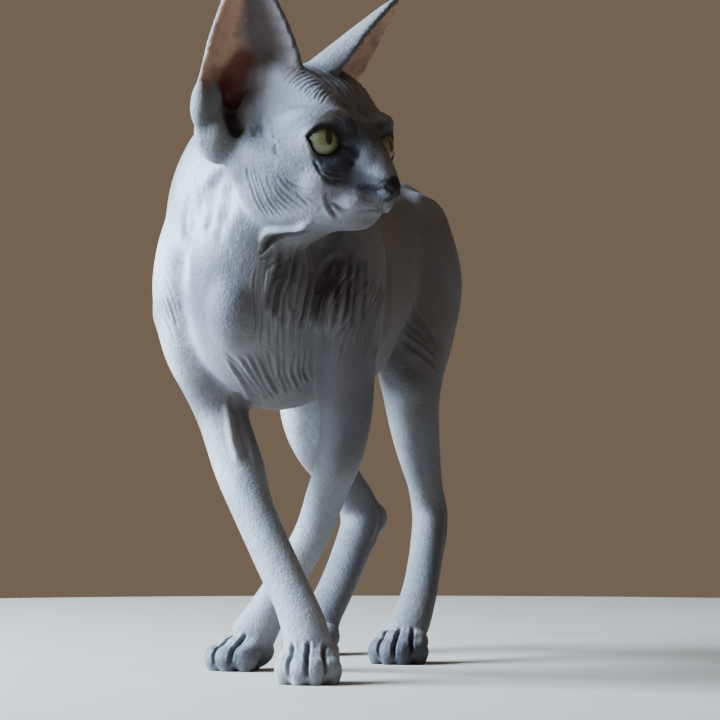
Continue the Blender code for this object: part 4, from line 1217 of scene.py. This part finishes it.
def ear_colour(tree, blotch):
    """Grey-mauve over most of the cup; beige towards its outer edge, partly the skin's own colour and partly
    painted light through the thin ear; red low down, partly its own colour and partly painted shade; black in
    the pit, painted shade.
    """
    across, height = value_of(tree, "ear_across"), value_of(tree, "ear_height")
    grey = (0.115, 0.095, 0.096)
    # Dark red low in the cup, partly the ear's own colour and partly painted shade; beige higher up, partly the
    # skin's own colour and partly painted light through the thin ear
    warm_shade_and_glow = mix(tree, spread(tree, height, 0.08, 0.20), (0.035, 0.009, 0.008), (0.135, 0.034, 0.026))
    warm_shade_and_glow = mix(tree, spread(tree, height, 0.25, 0.45), warm_shade_and_glow, (0.50, 0.30, 0.215))
    colour = mix(tree, spread(tree, across, 0.44, 0.66), grey, warm_shade_and_glow)
    # Near black at the cup's root: painted shade
    colour = mix(tree, spread(tree, height, 0.0, 0.10), (0.012, 0.006, 0.006), colour)
    return mix(tree, times(tree, blotch, 0.4), colour, (0.070, 0.055, 0.058))


def skin_colour(tree, where):
    broad = spread(tree, noise(tree, where, 26, 3), 0.35, 0.65)
    blotch = spread(tree, noise(tree, where, 120, 4, 0.6), 0.45, 0.68)
    streaky = add_node(tree, "ShaderNodeMapping", {"Vector": where, "Scale": (1.0, 1.0, 0.35)})
    fine = spread(tree, noise(tree, streaky.outputs["Vector"], 620, 4, 0.6), 0.42, 0.66)
    base = mix(tree, broad, (0.140, 0.144, 0.158), (0.168, 0.163, 0.170))
    # painted light on the lit side, lighter and bluish grey
    base = lay(tree, base, "pale_and_painted_light", 1.0, (0.360, 0.380, 0.410))
    strength = maths(tree, "ADD", times(tree, value_of(tree, "mottled_and_painted_shade"), 0.45), 0.15)
    base = mix(tree, maths(tree, "MULTIPLY", blotch, strength), base, (0.082, 0.085, 0.106))
    # painted shade, brownish, on the shaded side and under the chin
    base = lay(tree, base, "warm_shade_and_glow", 0.75, (0.112, 0.082, 0.078))
    # darker mottling, which is also painted shade on the breast's front, the left foreleg's upper part and the
    # chin
    base = lay(tree, base, "mottled_and_painted_shade", 0.80, (0.070, 0.067, 0.082))
    base = mix(tree, times(tree, fine, 0.28), base, (0.098, 0.101, 0.118))
    uneven = maths(tree, "ADD", value_of(tree, "dark"), times(tree, maths(tree, "SUBTRACT", blotch, 0.5), 0.18))
    # painted shade, greyish mauve, at the front of each ear's root
    base = lay(tree, base, "mauve", 0.8, (0.125, 0.105, 0.105))
    base = mix(tree, spread(tree, uneven, 0.15, 0.85), base, (0.034, 0.036, 0.046))
    # painted shade, brownish, in the narrow grooves
    base = lay(tree, base, "painted_crease_shade", 0.72, (0.034, 0.023, 0.024))
    # Inside the ears: the cup's colours, with their painted light and painted shade
    base = mix(tree, value_of(tree, "inner_ear"), base, ear_colour(tree, blotch))
    # dark red low in each ear, partly the ear's own colour and partly painted shade
    base = lay(tree, base, "red_ear", 0.85, (0.115, 0.027, 0.019))
    # painted shade, near black, in each ear's canal pit
    base = lay(tree, base, "canal", 0.92, (0.012, 0.007, 0.007))
    base = lay(tree, base, "nose", 1.0, (0.014, 0.013, 0.016))
    return lay(tree, base, "rim", 1.0, (0.013, 0.009, 0.009))


def skin_material():
    material, tree, shader = new_material("cat_skin")
    where = add_node(tree, "ShaderNodeTexCoord").outputs["Object"]
    shine = {"Value": noise(tree, where, 260, 2), "To Min": 0.50, "To Max": 0.68}
    shine = add_node(tree, "ShaderNodeMapRange", shine).outputs["Result"]
    cells = add_node(tree, "ShaderNodeTexVoronoi", {"Vector": where, "Scale": 1000.0}, feature="SMOOTH_F1")
    grain = maths(tree, "ADD", times(tree, cells.outputs["Distance"], 0.3), noise(tree, where, 460, 5, 0.62))
    relief = maths(tree, "ADD", grain, times(tree, noise(tree, where, 120, 3, 0.55), 1.4))
    bump = {"Height": relief, "Strength": 0.6, "Distance": 0.0009}
    bump = add_node(tree, "ShaderNodeBump", bump).outputs["Normal"]
    set_inputs(shader, {"Base Color": skin_colour(tree, where), "Roughness": shine, "Normal": bump})
    set_inputs(shader, SKIN_SURFACE)
    return material


def make_skin(shift):
    obj = shaped_body()
    obj.name = "skin"
    even_rims(obj)
    blend_knobs(obj)
    folds = all_folds(obj)
    face = np.linalg.norm((head_points(obj.data) - FACE_MIDDLE) / FACE_RADII, axis=1) < 1
    split_faces(obj, near_folds(vertex_array(obj.data), folds, 5 * MM) | face)
    muzzle = np.linalg.norm((head_points(obj.data) - MUZZLE_MIDDLE) / MUZZLE_RADII, axis=1) < 1
    split_faces(obj, muzzle)
    smooth(obj, 2, 0.5 * (1 - in_ears(obj.data)))
    rest = vertex_array(obj.data)
    ears = map_ears(rest)
    # depth: how much painted shade each vertex gets in the narrow grooves
    depth = fold_skin(obj, folds)
    shape_ears(obj, *ears)
    rim = open_lids(obj)
    points = vertex_array(obj.data)
    points[:, 2] = np.maximum(points[:, 2], 0)
    place_vertices(obj.data, points + shift)
    mark_skin(obj.data, rest, depth, rim, ears)
    obj.data.shade_smooth()
    obj.data.materials.append(skin_material())
    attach(obj, "root")
    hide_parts(*[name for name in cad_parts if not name.startswith("eye_")])
    return obj


def eye_material():
    material, tree, shader = new_material("cat_eye")
    seen = add_node(tree, "ShaderNodeAttribute", attribute_name="gaze").outputs["Vector"]
    parts = add_node(tree, "ShaderNodeSeparateXYZ", {"Vector": seen})
    across, up = parts.outputs["X"], parts.outputs["Z"]
    flat = add_node(tree, "ShaderNodeCombineXYZ", {"X": across, "Z": up}).outputs["Vector"]
    radius = add_node(tree, "ShaderNodeVectorMath", {0: flat}, operation="LENGTH").outputs["Value"]
    ray = add_node(tree, "ShaderNodeVectorMath", {0: flat}, operation="NORMALIZE").outputs["Vector"]
    streak = spread(tree, noise(tree, ray, 9, 5, 0.7), 0.3, 0.7)
    iris = mix(tree, spread(tree, radius, 0.25, 0.62), (0.200, 0.215, 0.085), (0.115, 0.130, 0.052))
    iris = mix(tree, maths(tree, "MULTIPLY", streak, 0.35), iris, (0.055, 0.065, 0.028))
    iris = mix(tree, spread(tree, radius, 0.62, 0.80), iris, (0.030, 0.032, 0.018))
    # Painted shadow of the upper lid: the iris darker towards its top
    iris = mix(tree, times(tree, spread(tree, up, 0.15, 0.62), 0.7), iris, (0.022, 0.022, 0.012))
    eye = mix(tree, spread(tree, radius, 0.80, 0.88), iris, (0.020, 0.014, 0.012))
    raised = add_node(tree, "ShaderNodeCombineXYZ", {"X": across, "Z": maths(tree, "SUBTRACT", up, PUPIL_RISE)})
    stretch = {0: raised.outputs["Vector"], 1: (1.9, 1.0, 1.0)}
    narrow = add_node(tree, "ShaderNodeVectorMath", stretch, operation="MULTIPLY").outputs["Vector"]
    slit = add_node(tree, "ShaderNodeVectorMath", {0: narrow}, operation="LENGTH").outputs["Value"]
    eye = mix(tree, spread(tree, slit, 0.32, 0.40), (0.003, 0.003, 0.003), eye)
    tree.links.new(eye, shader.inputs["Base Color"])
    set_inputs(shader, EYE_SURFACE)
    return material


def make_eye(name, shift, material):
    """An eyeball with its cornea standing out a little."""
    side = SIDES[name]
    forms = bmesh.new()
    bmesh.ops.create_icosphere(forms, subdivisions=6, radius=1.0)
    gaze = forms.verts.layers.float_vector.new("gaze")
    place = Matrix.Translation(shift) @ eye_frame(side)
    for vert in forms.verts:
        way = vert.co.copy()
        vert[gaze] = way if way.y < 0 else Vector((way.x, way.y, way.z)).normalized() + Vector((2, 0, 0))
        off_axis = math.degrees(math.acos(max(-1, min(1, -way.y))))
        cornea = max(0.0, 1 - (off_axis / 58) ** 2)
        vert.co = place @ (way * (EYE_RADIUS - 0.35 + 0.75 * cornea))
    obj = new_object("eyeball_" + name, forms)
    obj.data.shade_smooth()
    obj.data.materials.append(material)
    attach(obj, "root")
    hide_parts("eye_" + name)


def plain_material(name, colour, roughness):
    material, tree, shader = new_material(name)
    where = add_node(tree, "ShaderNodeTexCoord").outputs["Object"]
    uneven = spread(tree, noise(tree, where, 6, 4), 0.3, 0.7)
    darker = tuple(c * 0.95 for c in colour)
    tree.links.new(mix(tree, uneven, colour, darker), shader.inputs["Base Color"])
    shader.inputs["Roughness"].default_value = roughness
    return material


def make_floor():
    forms = bmesh.new()
    bmesh.ops.create_circle(forms, cap_ends=True, segments=96, radius=FLOOR_RADIUS)
    floor = new_object("floor", forms)
    floor.data.materials.append(plain_material("floor_pale", FLOOR_COLOUR, 0.7))


def add_lamp(name, place, target, size, power, colour):
    lamp = bpy.data.lights.new(name, "AREA")
    lamp.shape = "DISK"
    lamp.size = size
    lamp.energy = power
    lamp.color = colour
    obj = bpy.data.objects.new(name, lamp)
    obj.location = place
    obj.rotation_euler = (Vector(target) - Vector(place)).to_track_quat("-Z", "Y").to_euler()
    bpy.context.scene.collection.objects.link(obj)


def make_light():
    world = bpy.data.worlds.new("room")
    world.use_nodes = True
    backdrop = world.node_tree.nodes["Background"]
    backdrop.inputs["Color"].default_value = SKY_COLOUR
    backdrop.inputs["Strength"].default_value = 1.0
    bpy.context.scene.world = world
    heading = math.radians(CAMERA_HEADING)
    left = Vector((-math.cos(heading), -math.sin(heading), 0))
    near = Vector((math.sin(heading), -math.cos(heading), 0))
    middle = Vector((0, -0.12, 0.24))
    up = Vector((0, 0, 1))
    add_lamp("window", middle + left * 1.60 + near * 0.05 + up * 0.62, middle, 1.5, 340, (0.62, 0.81, 1.0))
    add_lamp("window_front", middle + left * 1.10 + near * 1.20 + up * 1.20, middle, 0.3, 3, (0.90, 0.94, 1.0))
    add_lamp("fill", middle - left * 1.2 + near * 1.6 + up * 0.9, middle, 1.5, 1, (1.0, 0.90, 0.80))


def make_camera():
    camera = bpy.data.cameras.new("camera")
    camera.sensor_width = 36
    camera.lens = 36 * CAMERA_FOCAL / 720
    obj = bpy.data.objects.new("camera", camera)
    heading, rise = math.radians(CAMERA_HEADING), math.radians(CAMERA_RISE)
    forward = Vector((-math.sin(heading) * math.cos(rise), math.cos(heading) * math.cos(rise), math.sin(rise)))
    obj.location = CAMERA_PLACE
    obj.rotation_euler = forward.to_track_quat("-Z", "Y").to_euler()
    bpy.context.scene.collection.objects.link(obj)
    bpy.context.scene.camera = obj


def main():
    low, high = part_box("eye_left")
    middle = (np.array(low) + np.array(high)) / 2
    shift = middle - np.array(eye_frame(1).translation)
    make_skin(shift)
    eye = eye_material()
    for name in SIDES:
        make_eye(name, Vector(shift), eye)
    make_floor()
    make_light()
    make_camera()


main()
